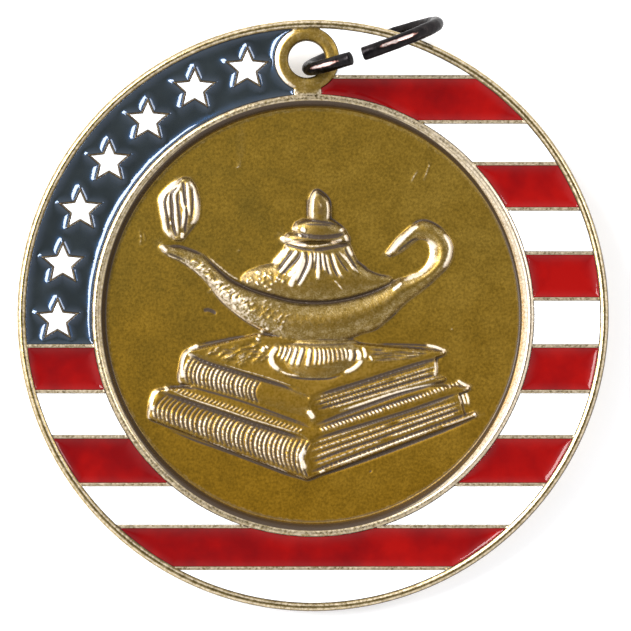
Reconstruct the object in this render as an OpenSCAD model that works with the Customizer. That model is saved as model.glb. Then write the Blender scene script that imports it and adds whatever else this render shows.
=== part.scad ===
// Academic medallion: a struck disc with a band of striped and starred enamel round a sunk field,
// a lamp standing on two books raised on the field, and a jump ring through the boss at the top.
// Lengths are in mm. The medal lies face up with its hole towards +Y. It rests on its lower edge
// and on the jump ring, which passes under the upper edge and so tips the disc by a few degrees.

/* [Disc] */
// Diameter of the medal
medal_d = 50.8; // [48:0.1:56]
// Thickness over the rims
medal_t = 2.5; // [2.2:0.1:3.2]
// Radius of the rounded outer edge, front and back
edge_round = 0.25; // [0.1:0.05:0.4]
// Width of the outer rim
outer_rim_w = 0.75; // [0.6:0.05:1.2]
// Diameter of the sunk field, inside the inner rim
field_d = 36; // [34:0.1:37]
// Width of the inner rim
inner_rim_w = 1; // [0.8:0.05:1.3]
// Depth of the field below the rims
field_depth = 1; // [0.8:0.05:1.2]
// Run of the slope from the inner rim down to the field
field_slope_run = 0.45; // [0.2:0.05:0.8]
// Radius of the inner rim's edge on the side of the field
inner_rim_round = 0.35; // [0.2:0.05:0.45]

/* [Back] */
// Diameter of the plain sunk field on the back
back_field_d = 38; // [30:0.5:40]
// Depth of the back's field
back_recess = 0.25; // [0.1:0.05:0.4]

/* [Enamel] */
// Drop of the dividers between the enamels below the rims
divider_drop = 0.12; // [0.05:0.01:0.2]
// Width of the dividers between the stripes
divider_w = 0.32; // [0.2:0.02:0.6]
// Depth of the enamel cells below the dividers
cell_depth = 0.75; // [0.5:0.05:0.9]
// Drop of the enamel below the dividers
fill_drop = 0.06; // [0.02:0.01:0.15]
// Gap between an enamel and the metal round and under it
enamel_gap = 0.03; // [0.02:0.01:0.06]

/* [Stars] */
// Number of stars
star_count = 7; // [4:1:7]
// Space that a star's metal outline keeps to the outer rim and to the next star
star_space = 0.675; // [0.5:0.025:0.9]
// Thickness of a star's metal outline
star_wall = 0.15; // [0.1:0.01:0.2]
// Angle of the first star from the +X side, in degrees
star_first_deg = 104.9; // [103:0.1:108]
// Angle of the last star from the +X side, in degrees
star_last_deg = 181; // [178:0.1:182]
// Distance of the stars outside the middle of the band
star_out = 0.1; // [0:0.05:0.3]

/* [Boss and hole] */
// Angle of the boss from the +X side, in degrees
boss_deg = 91.4; // [89:0.1:93]
// Distance of the hole outside the middle of the band
boss_out = 0.2; // [0:0.05:0.4]
// Diameter of the boss
boss_d = 5.6; // [5:0.1:6]
// Diameter of the hole in the boss
hole_d = 3.2; // [3:0.1:3.6]
// Width of the necks that join the boss to both rims
boss_neck_w = 2.4; // [1.5:0.1:3]

/* [Jump ring] */
// Diameter of the ring's wire
wire_d = 1.2; // [1:0.05:1.3]
// Diameter of the ring at the middle of its wire
ring_d = 11.64; // [11:0.1:13]
// Width of the open gap between the wire's ends
ring_gap = 1.15; // [0.5:0.05:2]
// Place of the gap round the ring from its outer end, in degrees
ring_gap_deg = 101; // [80:1:120]
// Direction in which the ring lies from the hole, in degrees from the +X side
ring_turn_deg = 19.4; // [10:0.1:30]
// Lean of the ring from upright on the disc, in degrees
ring_lean_deg = 5.7; // [0:0.1:8]
// Depth of the ring's centre below the front of the rims
ring_sink = 0.3; // [0:0.1:0.6]
// Gap between the wire and the wall of the hole
ring_play = 0.17; // [0.1:0.01:0.25]
// Side of the hole that the wire lies to, in degrees
ring_seat_deg = -77.5; // [-90:0.5:-60]

/* [Relief] */
// Height of the relief above the field
relief_h = 0.92; // [0.7:0.01:1]
// Ribs on the upper book's spine
upper_ribs = 8; // [6:1:10]
// Share of the upper book's spine that is ribbed, from its left end
upper_ribbed = 0.58; // [0.4:0.02:0.8]
// Ribs on the lower book's spine
lower_ribs = 27; // [20:1:32]
// Lines along the upper book's pages
upper_lines = 5; // [3:1:7]
// Lines along the lower book's pages
lower_lines = 6; // [3:1:8]
// Flutes on the lamp's lid
lid_flutes = 10; // [8:1:14]
// Flutes on the lamp's foot
foot_flutes = 11; // [8:1:14]
// Depth of a flute, as a share of the height there
flute_depth = 0.12; // [0.05:0.01:0.2]
// Strands in the flame
flame_strands = 6; // [4:1:8]
// Share of the flame's width that its strands fill
strand_fill = 0.84; // [0.7:0.02:0.9]

/* [Hidden] */
$fn = 96;
medal_r = medal_d / 2;
field_r = field_d / 2;
field_z = medal_t - field_depth;
band_in_r = field_r + inner_rim_w;
band_out_r = medal_r - outer_rim_w;
band_mid_r = (band_in_r + band_out_r) / 2;
band_z = medal_t - divider_drop;
cell_z = band_z - cell_depth;
fill_z = band_z - fill_drop;
// The dividers meet the rims on a ledge of this width.
ledge_w = 0.03;
arc_steps = 5;
// How far a relief form's sides go down into the disc.
relief_root = 0.3;
// Amount by which a cut runs past the face that it opens.
cut_over = 1;

// Levels of the dividers between the thirteen stripes, from the top, as shares of the medal's radius.
divider_levels = [0.806, 0.654, 0.513, 0.36, 0.211, 0.056, -0.103, -0.257, -0.41, -0.571, -0.713, -0.854];
stripe_count = len(divider_levels) + 1;
// The blue enamel ends on the left at this divider. Each stripe that ends at the inner rim has a
// cell on the right, and the ones under the blue have a cell on the left too.
blue_divider = 6;
split_stripes = 11;
// The boss ends this many of the right-hand stripes, from the top.
boss_stripes = 2;
function is_red(stripe) = stripe % 2 == 1;
function stripe_name(stripe, side) =
    str(is_red(stripe) ? "red" : "white", "_stripe_", side, "_", stripe + 1);
right_stripes = [for (i = [0 : split_stripes - 1]) i];
left_stripes = [for (i = [blue_divider + 1 : split_stripes - 1]) i];
bottom_stripes = [for (i = [split_stripes : stripe_count - 1]) i];
stars = [for (i = [0 : star_count - 1]) i];

gold = [0.55, 0.42, 0.14];
bronze = [0.3, 0.25, 0.22];
blue = [0.12, 0.2, 0.28];
red = [0.68, 0.05, 0.05];
white = [0.96, 0.96, 0.96];

// Places of the hole, the ring and the stars on the disc
hole_at = (band_mid_r + boss_out) * [cos(boss_deg), sin(boss_deg)];
ring_r = ring_d / 2;
wire_seat = hole_d / 2 - wire_d / 2 - ring_play;
wire_at = hole_at + wire_seat * [cos(ring_seat_deg), sin(ring_seat_deg)];
ring_at = [
    wire_at[0] + ring_r * cos(ring_turn_deg),
    wire_at[1] + ring_r * sin(ring_turn_deg),
    medal_t - ring_sink
];
star_step_deg = (star_last_deg - star_first_deg) / (star_count - 1);
star_ring_r = band_mid_r + star_out;
star_pitch = 2 * star_ring_r * sin(star_step_deg / 2);
star_r = min(band_out_r - star_ring_r, star_pitch / 2 + star_space / 2) - star_space;
function star_at(i) =
    star_ring_r * [cos(star_first_deg + i * star_step_deg), sin(star_first_deg + i * star_step_deg)];

// How the medal lies. ring_up points up the ring from its centre and ring_axis through it.
// The disc tips about its lower edge until the ring's lowest point is level with that edge.
ring_up = [
    sin(ring_turn_deg) * sin(ring_lean_deg),
    -cos(ring_turn_deg) * sin(ring_lean_deg),
    cos(ring_lean_deg)
];
ring_axis = [
    sin(ring_turn_deg) * cos(ring_lean_deg),
    -cos(ring_turn_deg) * cos(ring_lean_deg),
    -sin(ring_lean_deg)
];
ring_low = ring_at - ring_r * ring_up;
ring_way = [ring_low[0], ring_low[1]] / norm([ring_low[0], ring_low[1]]);
edge_contact_r = medal_r - edge_round;
function ring_reach(dir) = ring_r * sqrt(1 - pow(dir * ring_axis, 2)) + wire_d / 2;
function up_at(tilt) = [ring_way[0] * sin(tilt), ring_way[1] * sin(tilt), cos(tilt)];
function tilt_for(tilt) = asin(
    (ring_reach(up_at(tilt)) - cos(tilt) * ring_at[2])
    / (edge_contact_r + ring_way * [ring_at[0], ring_at[1]])
);
rest_tilt = tilt_for(tilt_for(tilt_for(tilt_for(0))));
tilt_axis = [ring_way[1], -ring_way[0], 0];
rest_lift = edge_contact_r * sin(rest_tilt);
function turned(v, a) =
    v * cos(a) + cross(tilt_axis, v) * sin(a) + tilt_axis * (tilt_axis * v) * (1 - cos(a));
// Reach of the tipped disc and ring along a row direction, given in the disc's own axes
function disc_reach(dir) = medal_r * norm([dir[0], dir[1]]) + max(0, medal_t * dir[2]);
function reach(dir) = max(disc_reach(dir), ring_at * dir + ring_reach(dir));
function middle(dir) = (reach(dir) - reach(-dir)) / 2;
rest_shift = [-middle(turned([1, 0, 0], -rest_tilt)), -middle(turned([0, 1, 0], -rest_tilt)), rest_lift];

module at_rest() {
    translate(rest_shift)
        rotate(a = rest_tilt, v = tilt_axis)
            children();
}

function arc(at, r, from, to) = [
    for (i = [0 : arc_steps])
        let (a = from + (to - from) * i / arc_steps)
            [at[0] + r * cos(a), at[1] + r * sin(a)]
];

// Half section of the disc: radius across, height up
disc_section = concat(
    [[0, back_recess], [back_field_d / 2, back_recess], [back_field_d / 2, 0]],
    arc([medal_r - edge_round, edge_round], edge_round, -90, 0),
    arc([medal_r - edge_round, medal_t - edge_round], edge_round, 0, 90),
    arc([band_out_r + ledge_w + divider_drop, band_z], divider_drop, 90, 180),
    arc([band_in_r - ledge_w - divider_drop, band_z], divider_drop, 0, 90),
    arc([field_r + inner_rim_round, medal_t - inner_rim_round], inner_rim_round, 90, 180),
    [[field_r - field_slope_run, field_z], [0, field_z]]
);

module disc() {
    rotate_extrude()
        polygon(disc_section);
}

// Outlines of the cells on the band, each drawn in by a margin for the enamel that lies in it

module band_outline(margin) {
    difference() {
        circle(r = band_out_r - margin);
        circle(r = band_in_r + margin);
    }
}

module boss_outline(margin) {
    translate(hole_at)
        circle(d = boss_d + 2 * margin);
    rotate(boss_deg)
        translate([band_in_r - cut_over, -boss_neck_w / 2 - margin])
            square([band_out_r - band_in_r + 2 * cut_over, boss_neck_w + 2 * margin]);
}

// Radius over the points of the star whose sides lie further out than the outline's by a margin
function star_points_r(margin) = star_r + margin / cos(72);

module star_outline(margin) {
    points_r = star_points_r(margin);
    notch_r = points_r * cos(72) / cos(36);
    polygon([
        for (k = [0 : 9])
            (k % 2 == 0 ? points_r : notch_r) * [cos(90 + 36 * k), sin(90 + 36 * k)]
    ]);
}

function divider_y(i) = medal_r * divider_levels[i];
function stripe_top(i) = i == 0 ? medal_r : divider_y(i - 1) - divider_w / 2;
function stripe_bottom(i) = i == stripe_count - 1 ? -medal_r : divider_y(i) + divider_w / 2;

module stripe_outline(stripe, left_x, right_x, margin) {
    bottom = stripe_bottom(stripe) + margin;
    difference() {
        intersection() {
            band_outline(margin);
            translate([left_x, bottom])
                square([right_x - left_x, stripe_top(stripe) - margin - bottom]);
        }
        if (stripe < boss_stripes)
            boss_outline(margin);
    }
}

module right_outline(stripe, margin) {
    stripe_outline(stripe, stripe < boss_stripes ? hole_at[0] : 0, medal_r, margin);
}

module left_outline(stripe, margin) {
    stripe_outline(stripe, -medal_r, 0, margin);
}

module bottom_outline(stripe, margin) {
    stripe_outline(stripe, -medal_r, medal_r, margin);
}

module blue_outline(margin) {
    bottom = divider_y(blue_divider) + divider_w / 2 + margin;
    difference() {
        intersection() {
            band_outline(margin);
            translate([-medal_r, bottom])
                square([medal_r + hole_at[0], medal_r - bottom]);
        }
        boss_outline(margin);
        for (i = stars)
            translate(star_at(i))
                star_outline(margin);
    }
}

module star_cell_outline(i, margin) {
    translate(star_at(i))
        star_outline(-star_wall - margin);
}

module cell() {
    translate([0, 0, cell_z])
        linear_extrude(cell_depth + cut_over)
            children();
}

module fill() {
    translate([0, 0, cell_z + enamel_gap])
        linear_extrude(fill_z - cell_z - enamel_gap)
            children();
}

module cells() {
    cell() blue_outline(0);
    for (i = stars)
        cell() star_cell_outline(i, 0);
    for (i = right_stripes)
        cell() right_outline(i, 0);
    for (i = left_stripes)
        cell() left_outline(i, 0);
    for (i = bottom_stripes)
        cell() bottom_outline(i, 0);
}

// The relief is lofted through rows. A row is a straight line over the field with the columns
// [x1, y1, x2, y2, h1, h2]: its two ends in shares of the field's radius, and the heights at
// both ends in shares of the relief's height. A section has the columns [place along the row
// from 0 to 1, share of the row's height].

function between(a, b, t) = a + (b - a) * t;
arch_steps = 6;
// Height of an arch's sides as a share of its crown's
arch_side = 0.3;
arch = [
    for (k = [0 : arch_steps])
        let (a = 180 * k / arch_steps)
            [(1 - cos(a)) / 2, arch_side + (1 - arch_side) * pow(sin(a), 0.8)]
];
plank = [[0, 1], [1, 1]];
spine_section = [[0, 0.72], [0.12, 1], [0.5, 1.06], [0.88, 1], [1, 0.72]];

// An arch whose crown is cut into flutes
flute_steps = 4;
function fluted(count) = [
    for (k = [0 : flute_steps * count])
        let (t = k / (flute_steps * count), crown = arch_side + (1 - arch_side) * sqrt(sin(180 * t)))
            [t, crown * (1 - flute_depth * (1 + cos(360 * t * count)) / 2)]
];

// The edge of a book: a cover, the cut edges of the pages with lines along them, a cover
cover_share = 0.14;
groove_share = 0.03;
groove_height = 0.7;
line_height = 0.86;
function page_place(share) = between(cover_share + groove_share, 1 - cover_share - groove_share, share);
function pages(lines) = concat(
    [[0, 1], [cover_share, 1]],
    [for (k = [0 : 2 * lines]) [page_place(k / (2 * lines)), k % 2 == 0 ? groove_height : line_height]],
    [[1 - cover_share, 1], [1, 1]]
);

function row_mid(row) = [row[0] + row[2], row[1] + row[3]] / 2;
function reversed(list) = [for (i = [len(list) - 1 : -1 : 0]) list[i]];
// Rows go round their sections the same way, whichever end the table starts from.
function in_order(rows) =
    let (
        along = row_mid(rows[1]) - row_mid(rows[0]),
        over = [rows[0][2] - rows[0][0], rows[0][3] - rows[0][1]]
    )
        over[0] * along[1] - over[1] * along[0] > 0 ? rows : reversed(rows);
function row_point(row, s) = [
    field_r * (row[0] + (row[2] - row[0]) * s[0]),
    field_r * (row[1] + (row[3] - row[1]) * s[0]),
    relief_h * (row[4] + (row[5] - row[4]) * s[0]) * s[1]
];
function row_root(row, t) = [
    field_r * (row[0] + (row[2] - row[0]) * t),
    field_r * (row[1] + (row[3] - row[1]) * t),
    -relief_root
];
function halved(rows) = len(rows) > 2 ? rows : [rows[0], (rows[0] + rows[1]) / 2, rows[1]];

// The first and last rows have a root point under each point of the section, and the rows
// between them have one under each end.
module relief_loft(table, section) {
    rows = halved(in_order(table));
    n = len(section);
    last = len(rows) - 1;
    first_root = n * len(rows);
    last_root = first_root + n;
    side_root = last_root + n;
    points = concat(
        [for (row = rows) for (s = section) row_point(row, s)],
        [for (s = section) row_root(rows[0], s[0])],
        [for (s = section) row_root(rows[last], s[0])],
        [for (i = [1 : last - 1]) for (t = [0, 1]) row_root(rows[i], t)]
    );
    function left_root(i) = i == 0 ? first_root : i == last ? last_root : side_root + 2 * i - 2;
    function right_root(i) =
        i == 0 ? first_root + n - 1 : i == last ? last_root + n - 1 : side_root + 2 * i - 1;
    strips = [0 : last - 1];
    spans = [0 : n - 2];
    faces = concat(
        [for (i = strips) for (k = spans) [i * n + k, (i + 1) * n + k, (i + 1) * n + k + 1]],
        [for (i = strips) for (k = spans) [i * n + k, (i + 1) * n + k + 1, i * n + k + 1]],
        [for (i = strips) [left_root(i), left_root(i + 1), (i + 1) * n, i * n]],
        [for (i = strips) [right_root(i + 1), right_root(i), i * n + n - 1, (i + 1) * n + n - 1]],
        [for (k = spans) [first_root + k, k, k + 1, first_root + k + 1]],
        [for (k = spans) [last_root + k + 1, last * n + k + 1, last * n + k, last_root + k]],
        [for (i = [1 : 1 : last - 2]) [left_root(i), right_root(i), right_root(i + 1), left_root(i + 1)]],
        [concat([left_root(1)], [for (k = [0 : n - 1]) first_root + k], [right_root(1)])],
        [concat(
            [left_root(last - 1), right_root(last - 1)],
            [for (k = [n - 1 : -1 : 0]) last_root + k]
        )]
    );
    translate([0, 0, field_z])
        polyhedron(points = points, faces = faces);
}

// The lamp's spout, bowl and looped handle, in sections from the spout's tip: lower or outer end
// of the row first, bowl's rim or inner side of the handle second
lamp_rows = [
    [-0.699, 0.290, -0.730, 0.333, 0.35, 0.35],
    [-0.632, 0.259, -0.640, 0.325, 0.42, 0.42],
    [-0.545, 0.195, -0.520, 0.285, 0.50, 0.50],
    [-0.494, 0.141, -0.455, 0.222, 0.60, 0.60],
    [-0.442, 0.074, -0.391, 0.170, 0.68, 0.68],
    [-0.340, -0.013, -0.288, 0.120, 0.78, 0.78],
    [-0.247, -0.069, -0.186, 0.090, 0.88, 0.88],
    [-0.130, -0.115, -0.083, 0.067, 0.96, 0.96],
    [0.010, -0.135, 0.010, 0.062, 1.00, 1.00],
    [0.120, -0.125, 0.100, 0.070, 0.98, 0.98],
    [0.220, -0.090, 0.200, 0.088, 0.92, 0.92],
    [0.309, -0.059, 0.290, 0.115, 0.84, 0.84],
    [0.385, 0.005, 0.350, 0.142, 0.76, 0.76],
    [0.450, 0.068, 0.405, 0.172, 0.68, 0.68],
    [0.514, 0.115, 0.455, 0.182, 0.62, 0.62],
    [0.612, 0.203, 0.535, 0.218, 0.56, 0.56],
    [0.653, 0.249, 0.565, 0.254, 0.54, 0.54],
    [0.668, 0.300, 0.578, 0.295, 0.54, 0.54],
    [0.660, 0.351, 0.571, 0.331, 0.54, 0.54],
    [0.627, 0.403, 0.555, 0.352, 0.54, 0.54],
    [0.581, 0.438, 0.530, 0.366, 0.54, 0.54],
    [0.529, 0.454, 0.504, 0.367, 0.52, 0.52],
    [0.475, 0.428, 0.485, 0.355, 0.50, 0.50],
    [0.430, 0.393, 0.460, 0.335, 0.46, 0.46],
    [0.395, 0.358, 0.425, 0.308, 0.42, 0.42],
    [0.350, 0.297, 0.375, 0.283, 0.36, 0.36]
];
// The shoulder between the bowl's rim and the lid, from left to right
shoulder_rows = [
    [-0.335, 0.143, -0.330, 0.178, 0.36, 0.36],
    [-0.288, 0.120, -0.290, 0.222, 0.50, 0.50],
    [-0.186, 0.090, -0.190, 0.245, 0.66, 0.66],
    [-0.083, 0.067, -0.070, 0.280, 0.80, 0.80],
    [0.020, 0.062, 0.020, 0.290, 0.86, 0.86],
    [0.120, 0.072, 0.110, 0.280, 0.80, 0.80],
    [0.200, 0.088, 0.205, 0.255, 0.70, 0.70],
    [0.290, 0.115, 0.285, 0.205, 0.50, 0.50],
    [0.372, 0.152, 0.375, 0.182, 0.36, 0.36]
];
// The fluted lid from its foot up, then its rings, collar and knob
lid_rows = [
    [-0.190, 0.180, 0.225, 0.180, 0.86, 0.86],
    [-0.195, 0.235, 0.218, 0.235, 0.92, 0.92],
    [-0.150, 0.290, 0.195, 0.290, 0.92, 0.92],
    [-0.130, 0.345, 0.172, 0.345, 0.90, 0.90]
];
ring_rows = [
    [-0.146, 0.352, 0.178, 0.352, 0.94, 0.94],
    [-0.146, 0.366, 0.178, 0.366, 1.00, 1.00],
    [-0.122, 0.388, 0.164, 0.388, 0.94, 0.94]
];
collar_rows = [
    [-0.106, 0.380, 0.160, 0.380, 0.94, 0.94],
    [-0.096, 0.400, 0.156, 0.400, 0.98, 0.98],
    [-0.074, 0.444, 0.106, 0.444, 0.88, 0.88],
    [-0.050, 0.456, 0.090, 0.456, 0.80, 0.80]
];
knob_rows = [
    [-0.022, 0.448, 0.080, 0.448, 0.84, 0.84],
    [-0.022, 0.530, 0.080, 0.530, 0.88, 0.88],
    [-0.016, 0.562, 0.074, 0.562, 0.82, 0.82],
    [0.004, 0.584, 0.054, 0.584, 0.70, 0.70],
    [0.020, 0.592, 0.038, 0.592, 0.60, 0.60]
];
// The lamp's foot: a plain ring on the cover under a fluted neck
foot_ring_rows = [
    [-0.090, -0.300, 0.120, -0.300, 0.84, 0.84],
    [-0.160, -0.276, 0.190, -0.276, 0.90, 0.90],
    [-0.200, -0.220, 0.262, -0.220, 0.94, 0.94],
    [-0.196, -0.180, 0.270, -0.180, 0.92, 0.92]
];
foot_neck_rows = [
    [-0.165, -0.244, 0.235, -0.244, 0.98, 0.98],
    [-0.178, -0.190, 0.250, -0.190, 1.00, 1.00],
    [-0.150, -0.140, 0.235, -0.140, 0.98, 0.98],
    [-0.120, -0.105, 0.200, -0.105, 0.92, 0.92]
];
// The flame's outline from the top: columns [y, left x, right x, height]
flame_levels = [
    [0.656, -0.634, -0.588, 0.36],
    [0.610, -0.690, -0.556, 0.46],
    [0.560, -0.730, -0.543, 0.52],
    [0.500, -0.726, -0.541, 0.54],
    [0.440, -0.708, -0.560, 0.52],
    [0.400, -0.692, -0.590, 0.46],
    [0.358, -0.668, -0.622, 0.36]
];
// The books' corners and heights, columns [x, y, height]. The top cover has a left, a back, a
// right and a front corner, and the spine and the page edge have their lower ends under those.
upper_book = [
    [-0.600, -0.170, 0.46], [-0.275, -0.092, 0.36], [0.628, -0.172, 0.46], [-0.020, -0.385, 0.88],
    [-0.630, -0.322, 0.38], [-0.010, -0.495, 0.74], [0.632, -0.312, 0.38]
];
lower_book = [
    [-0.735, -0.355, 0.40], [-0.275, -0.300, 0.34], [0.742, -0.342, 0.40], [-0.025, -0.590, 0.76],
    [-0.778, -0.495, 0.30], [-0.030, -0.785, 0.60], [0.782, -0.478, 0.30]
];

function row_from(a, b) = [a[0], a[1], b[0], b[1], a[2], b[2]];
function raised(point, share) = [point[0], point[1], point[2] * share];
// A spine and a page edge run in under the cover by this share of their width. By a share of its
// length, the page edge runs in under the spine and stops short of the cover's right corner.
tuck = 0.06;
end_tuck = 0.01;
function edge_row(top, foot) = row_from(between(top, foot, -tuck), foot);
// Rows along a spine from its left end, four to a rib: up, over, down and along the gap. Past the
// ribbed share it runs on plain.
rib_shares = [[0, 0.9], [0.2, 1.05], [0.55, 1.05], [0.75, 0.9]];
function spine_rows(book, ribs, ribbed) = concat(
    [for (i = [0 : ribs - 1]) for (r = rib_shares)
        let (t = (i + r[0]) * ribbed / ribs)
            edge_row(
                raised(between(book[0], book[3], t), r[1]),
                raised(between(book[4], book[5], t), r[1])
            )],
    ribbed < 1 ? [edge_row(between(book[0], book[3], ribbed), between(book[4], book[5], ribbed))] : [],
    [edge_row(book[3], book[5])]
);
// The rounded left end of a spine, from the outside in. Columns: distance out as a share of the
// field's radius, how far each end of the row is drawn in, share of the height
spine_end_levels = [[0.035, 0.3, 0.5], [0.025, 0.12, 0.8], [0, 0, 0.95], [-0.02, 0.1, 0.8]];
function spine_end_rows(book) = [
    for (s = spine_end_levels)
        let (top = book[0], foot = book[4], out = [s[0], 0, 0])
            row_from(
                raised(between(top, foot, s[1]) - out, s[2]),
                raised(between(foot, top, s[1]) - out, s[2])
            )
];

module book(corners, ribs, ribbed, lines) {
    relief_loft([row_from(corners[0], corners[3]), row_from(corners[1], corners[2])], plank);
    relief_loft(spine_end_rows(corners), spine_section);
    relief_loft(spine_rows(corners, ribs, ribbed), spine_section);
    relief_loft([
        for (t = [-end_tuck, 1 - end_tuck])
            edge_row(between(corners[3], corners[2], t), between(corners[5], corners[6], t))
    ], pages(lines));
}

module flame() {
    for (i = [0 : flame_strands - 1])
        relief_loft([
            for (level = flame_levels)
                let (
                    pitch = (level[2] - level[1]) / flame_strands,
                    half = pitch * strand_fill / 2,
                    x = level[1] + (i + 0.5) * pitch
                )
                    [x - half, level[0], x + half, level[0], level[3], level[3]]
        ], arch);
}

module lamp() {
    relief_loft(lamp_rows, arch);
    relief_loft(shoulder_rows, arch);
    relief_loft(lid_rows, fluted(lid_flutes));
    relief_loft(ring_rows, arch);
    relief_loft(collar_rows, arch);
    relief_loft(knob_rows, arch);
    relief_loft(foot_ring_rows, arch);
    relief_loft(foot_neck_rows, fluted(foot_flutes));
    flame();
}

module bore() {
    translate([hole_at[0], hole_at[1], -cut_over])
        cylinder(h = medal_t + 2 * cut_over, d = hole_d);
}

module medal_body() {
    color(gold) at_rest() {
        difference() {
            disc();
            cells();
            bore();
        }
        book(lower_book, lower_ribs, 1, lower_lines);
        book(upper_book, upper_ribs, upper_ribbed, upper_lines);
        lamp();
    }
}

module jump_ring() {
    gap_deg = ring_gap / ring_r * 180 / PI;
    color(bronze) at_rest()
        translate(ring_at)
            rotate([90 + ring_lean_deg, 0, ring_turn_deg])
                rotate([0, 0, ring_gap_deg + gap_deg / 2])
                    rotate_extrude(angle = 360 - gap_deg)
                        translate([ring_r, 0])
                            circle(d = wire_d, $fn = 32);
}

module blue_enamel() {
    color(blue) at_rest()
        fill() blue_outline(enamel_gap);
}

module star_enamel(i) {
    color(white) at_rest()
        fill() star_cell_outline(i, enamel_gap);
}

module stripe_enamel(stripe) {
    color(is_red(stripe) ? red : white) at_rest()
        fill() children();
}

medal_body();
jump_ring();
blue_enamel();
for (i = stars)
    star_enamel(i);
for (i = right_stripes)
    stripe_enamel(i) right_outline(i, enamel_gap);
for (i = left_stripes)
    stripe_enamel(i) left_outline(i, enamel_gap);
for (i = bottom_stripes)
    stripe_enamel(i) bottom_outline(i, enamel_gap);
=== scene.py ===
import math

import bpy
import bmesh
import numpy as np
from mathutils import Matrix, Vector, kdtree
from mathutils.geometry import delaunay_2d_cdt


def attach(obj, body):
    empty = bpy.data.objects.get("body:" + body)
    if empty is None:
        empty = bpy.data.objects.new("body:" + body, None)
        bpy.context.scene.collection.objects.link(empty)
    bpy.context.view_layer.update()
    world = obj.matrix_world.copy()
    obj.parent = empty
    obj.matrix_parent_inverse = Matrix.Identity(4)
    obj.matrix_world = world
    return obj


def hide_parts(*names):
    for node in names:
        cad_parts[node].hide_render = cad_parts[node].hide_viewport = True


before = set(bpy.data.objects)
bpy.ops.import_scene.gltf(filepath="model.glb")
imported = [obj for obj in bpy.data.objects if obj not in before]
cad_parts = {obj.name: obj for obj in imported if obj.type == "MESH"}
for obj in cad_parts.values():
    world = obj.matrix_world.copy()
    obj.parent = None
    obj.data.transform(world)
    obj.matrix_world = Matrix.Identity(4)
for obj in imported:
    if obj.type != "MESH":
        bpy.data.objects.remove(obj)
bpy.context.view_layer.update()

# Academic medallion. Lengths are in millimetres in the disc's own axes until a mesh is made: x to
# the right, y towards the hole, z out of the face, with z = 0 at the back's rim.
MM = 0.001
RNG = np.random.default_rng(7)

# How the disc lies in the row frame: tipped about its lower edge, onto the ring
REST_TILT = math.radians(4.86388)
TILT_AXIS = Vector((0.978944, -0.204128, 0))
REST_SHIFT = np.array([0.0216347, -0.0667962, 2.13244])
REST_TURN = np.array(Matrix.Rotation(REST_TILT, 3, TILT_AXIS))


def to_row(points):
    return (np.asarray(points, float) @ REST_TURN.T + REST_SHIFT) * MM


def polar(r, angle):
    return r * np.array([math.cos(angle), math.sin(angle)])


# Sizes, as in the part's source
MEDAL_R, MEDAL_T, EDGE_ROUND = 25.4, 2.5, 0.25
FIELD_R, FIELD_Z = 18.0, 1.5
SLOPE_FOOT = FIELD_R - 0.45
BAND_IN, BAND_OUT, BAND_Z = 19.0, 24.65, 2.38
CELL_Z = 1.63
LEDGE = 0.03
BACK_R, BACK_RECESS = 19.0, 0.25
DIVIDER_W = 0.32
DIVIDER_LEVELS = [
    0.806, 0.654, 0.513, 0.36, 0.211, 0.056, -0.103, -0.257, -0.41, -0.571, -0.713, -0.854]
SPLIT_STRIPES = 11
BLUE_DIVIDER = 6
STAR_COUNT, STAR_R, STAR_WALL, STAR_NOTCH = 7, 1.97, 0.105, 0.465
STAR_FIRST, STAR_LAST, STAR_RING = 104.9, 181.0, 21.925
HOLE_R, BOSS_R, BOSS_NECK = 1.6, 2.8, 2.4
BOSS_ANGLE, HOLE_RING = math.radians(91.4), 22.025
HOLE_AT = polar(HOLE_RING, BOSS_ANGLE)

# The back's rim is this far above z = 0, so that the scene stays inside the solids' box
BACK_Z = 0.002
# Points round the full circles, the hole and the boss
TURN, HOLE_TURN, BOSS_TURN = 480, 96, 120

# Camera: straight down on the disc, with a long lens. The picture is VIEW_W wide at the rims.
VIEW_W, VIEW_DIST, VIEW_X = 54.14, 600.0, 0.215
SENSOR_W = 36


def add_object(name, data):
    obj = bpy.data.objects.new(name, data)
    bpy.context.scene.collection.objects.link(obj)
    return obj


def make_camera():
    data = bpy.data.cameras.new("camera")
    data.sensor_width = SENSOR_W
    data.lens = SENSOR_W * (VIEW_DIST - MEDAL_T) / VIEW_W
    data.clip_start, data.clip_end = 0.01, 10
    camera = add_object("camera", data)
    place = to_row([[VIEW_X, 0, VIEW_DIST]])[0]
    camera.matrix_world = Matrix.Translation(place) @ Matrix(REST_TURN.tolist()).to_4x4()
    bpy.context.scene.camera = camera


make_camera()


# Small tools for numbers and plan shapes

def rise(x, start, run):
    """From 0 at a start to 1 a run further on. A run below 0 rises the other way."""
    return np.clip((x - start) / run, 0, 1)


def bell(x, middle, width, power=2):
    return np.exp(-((x - middle) / width) ** power)


def between(a, b, t):
    return np.asarray(a) + (np.asarray(b) - np.asarray(a)) * t


def radius(p, centre=(0.0, 0.0)):
    return np.hypot(*(p - np.asarray(centre)).T)


def turn_angles(n):
    return np.arange(n) * 2 * math.pi / n


def circle(r, n, centre=(0.0, 0.0)):
    a = turn_angles(n)
    return np.c_[centre[0] + r * np.cos(a), centre[1] + r * np.sin(a)]


def grid_points(low, high, step):
    """Plan points on a square grid between two corners."""
    i, j = np.meshgrid(np.arange(low[0], high[0], step), np.arange(low[1], high[1], step))
    return np.c_[i.ravel(), j.ravel()]


def star_outline(centre, r):
    corner = np.arange(10)
    a = np.radians(90 + 36 * corner)
    d = np.where(corner % 2 == 0, r, r * STAR_NOTCH)
    return np.c_[centre[0] + d * np.cos(a), centre[1] + d * np.sin(a)]


def star_centre(i):
    degrees = STAR_FIRST + i * (STAR_LAST - STAR_FIRST) / (STAR_COUNT - 1)
    return polar(STAR_RING, math.radians(degrees))


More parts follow.
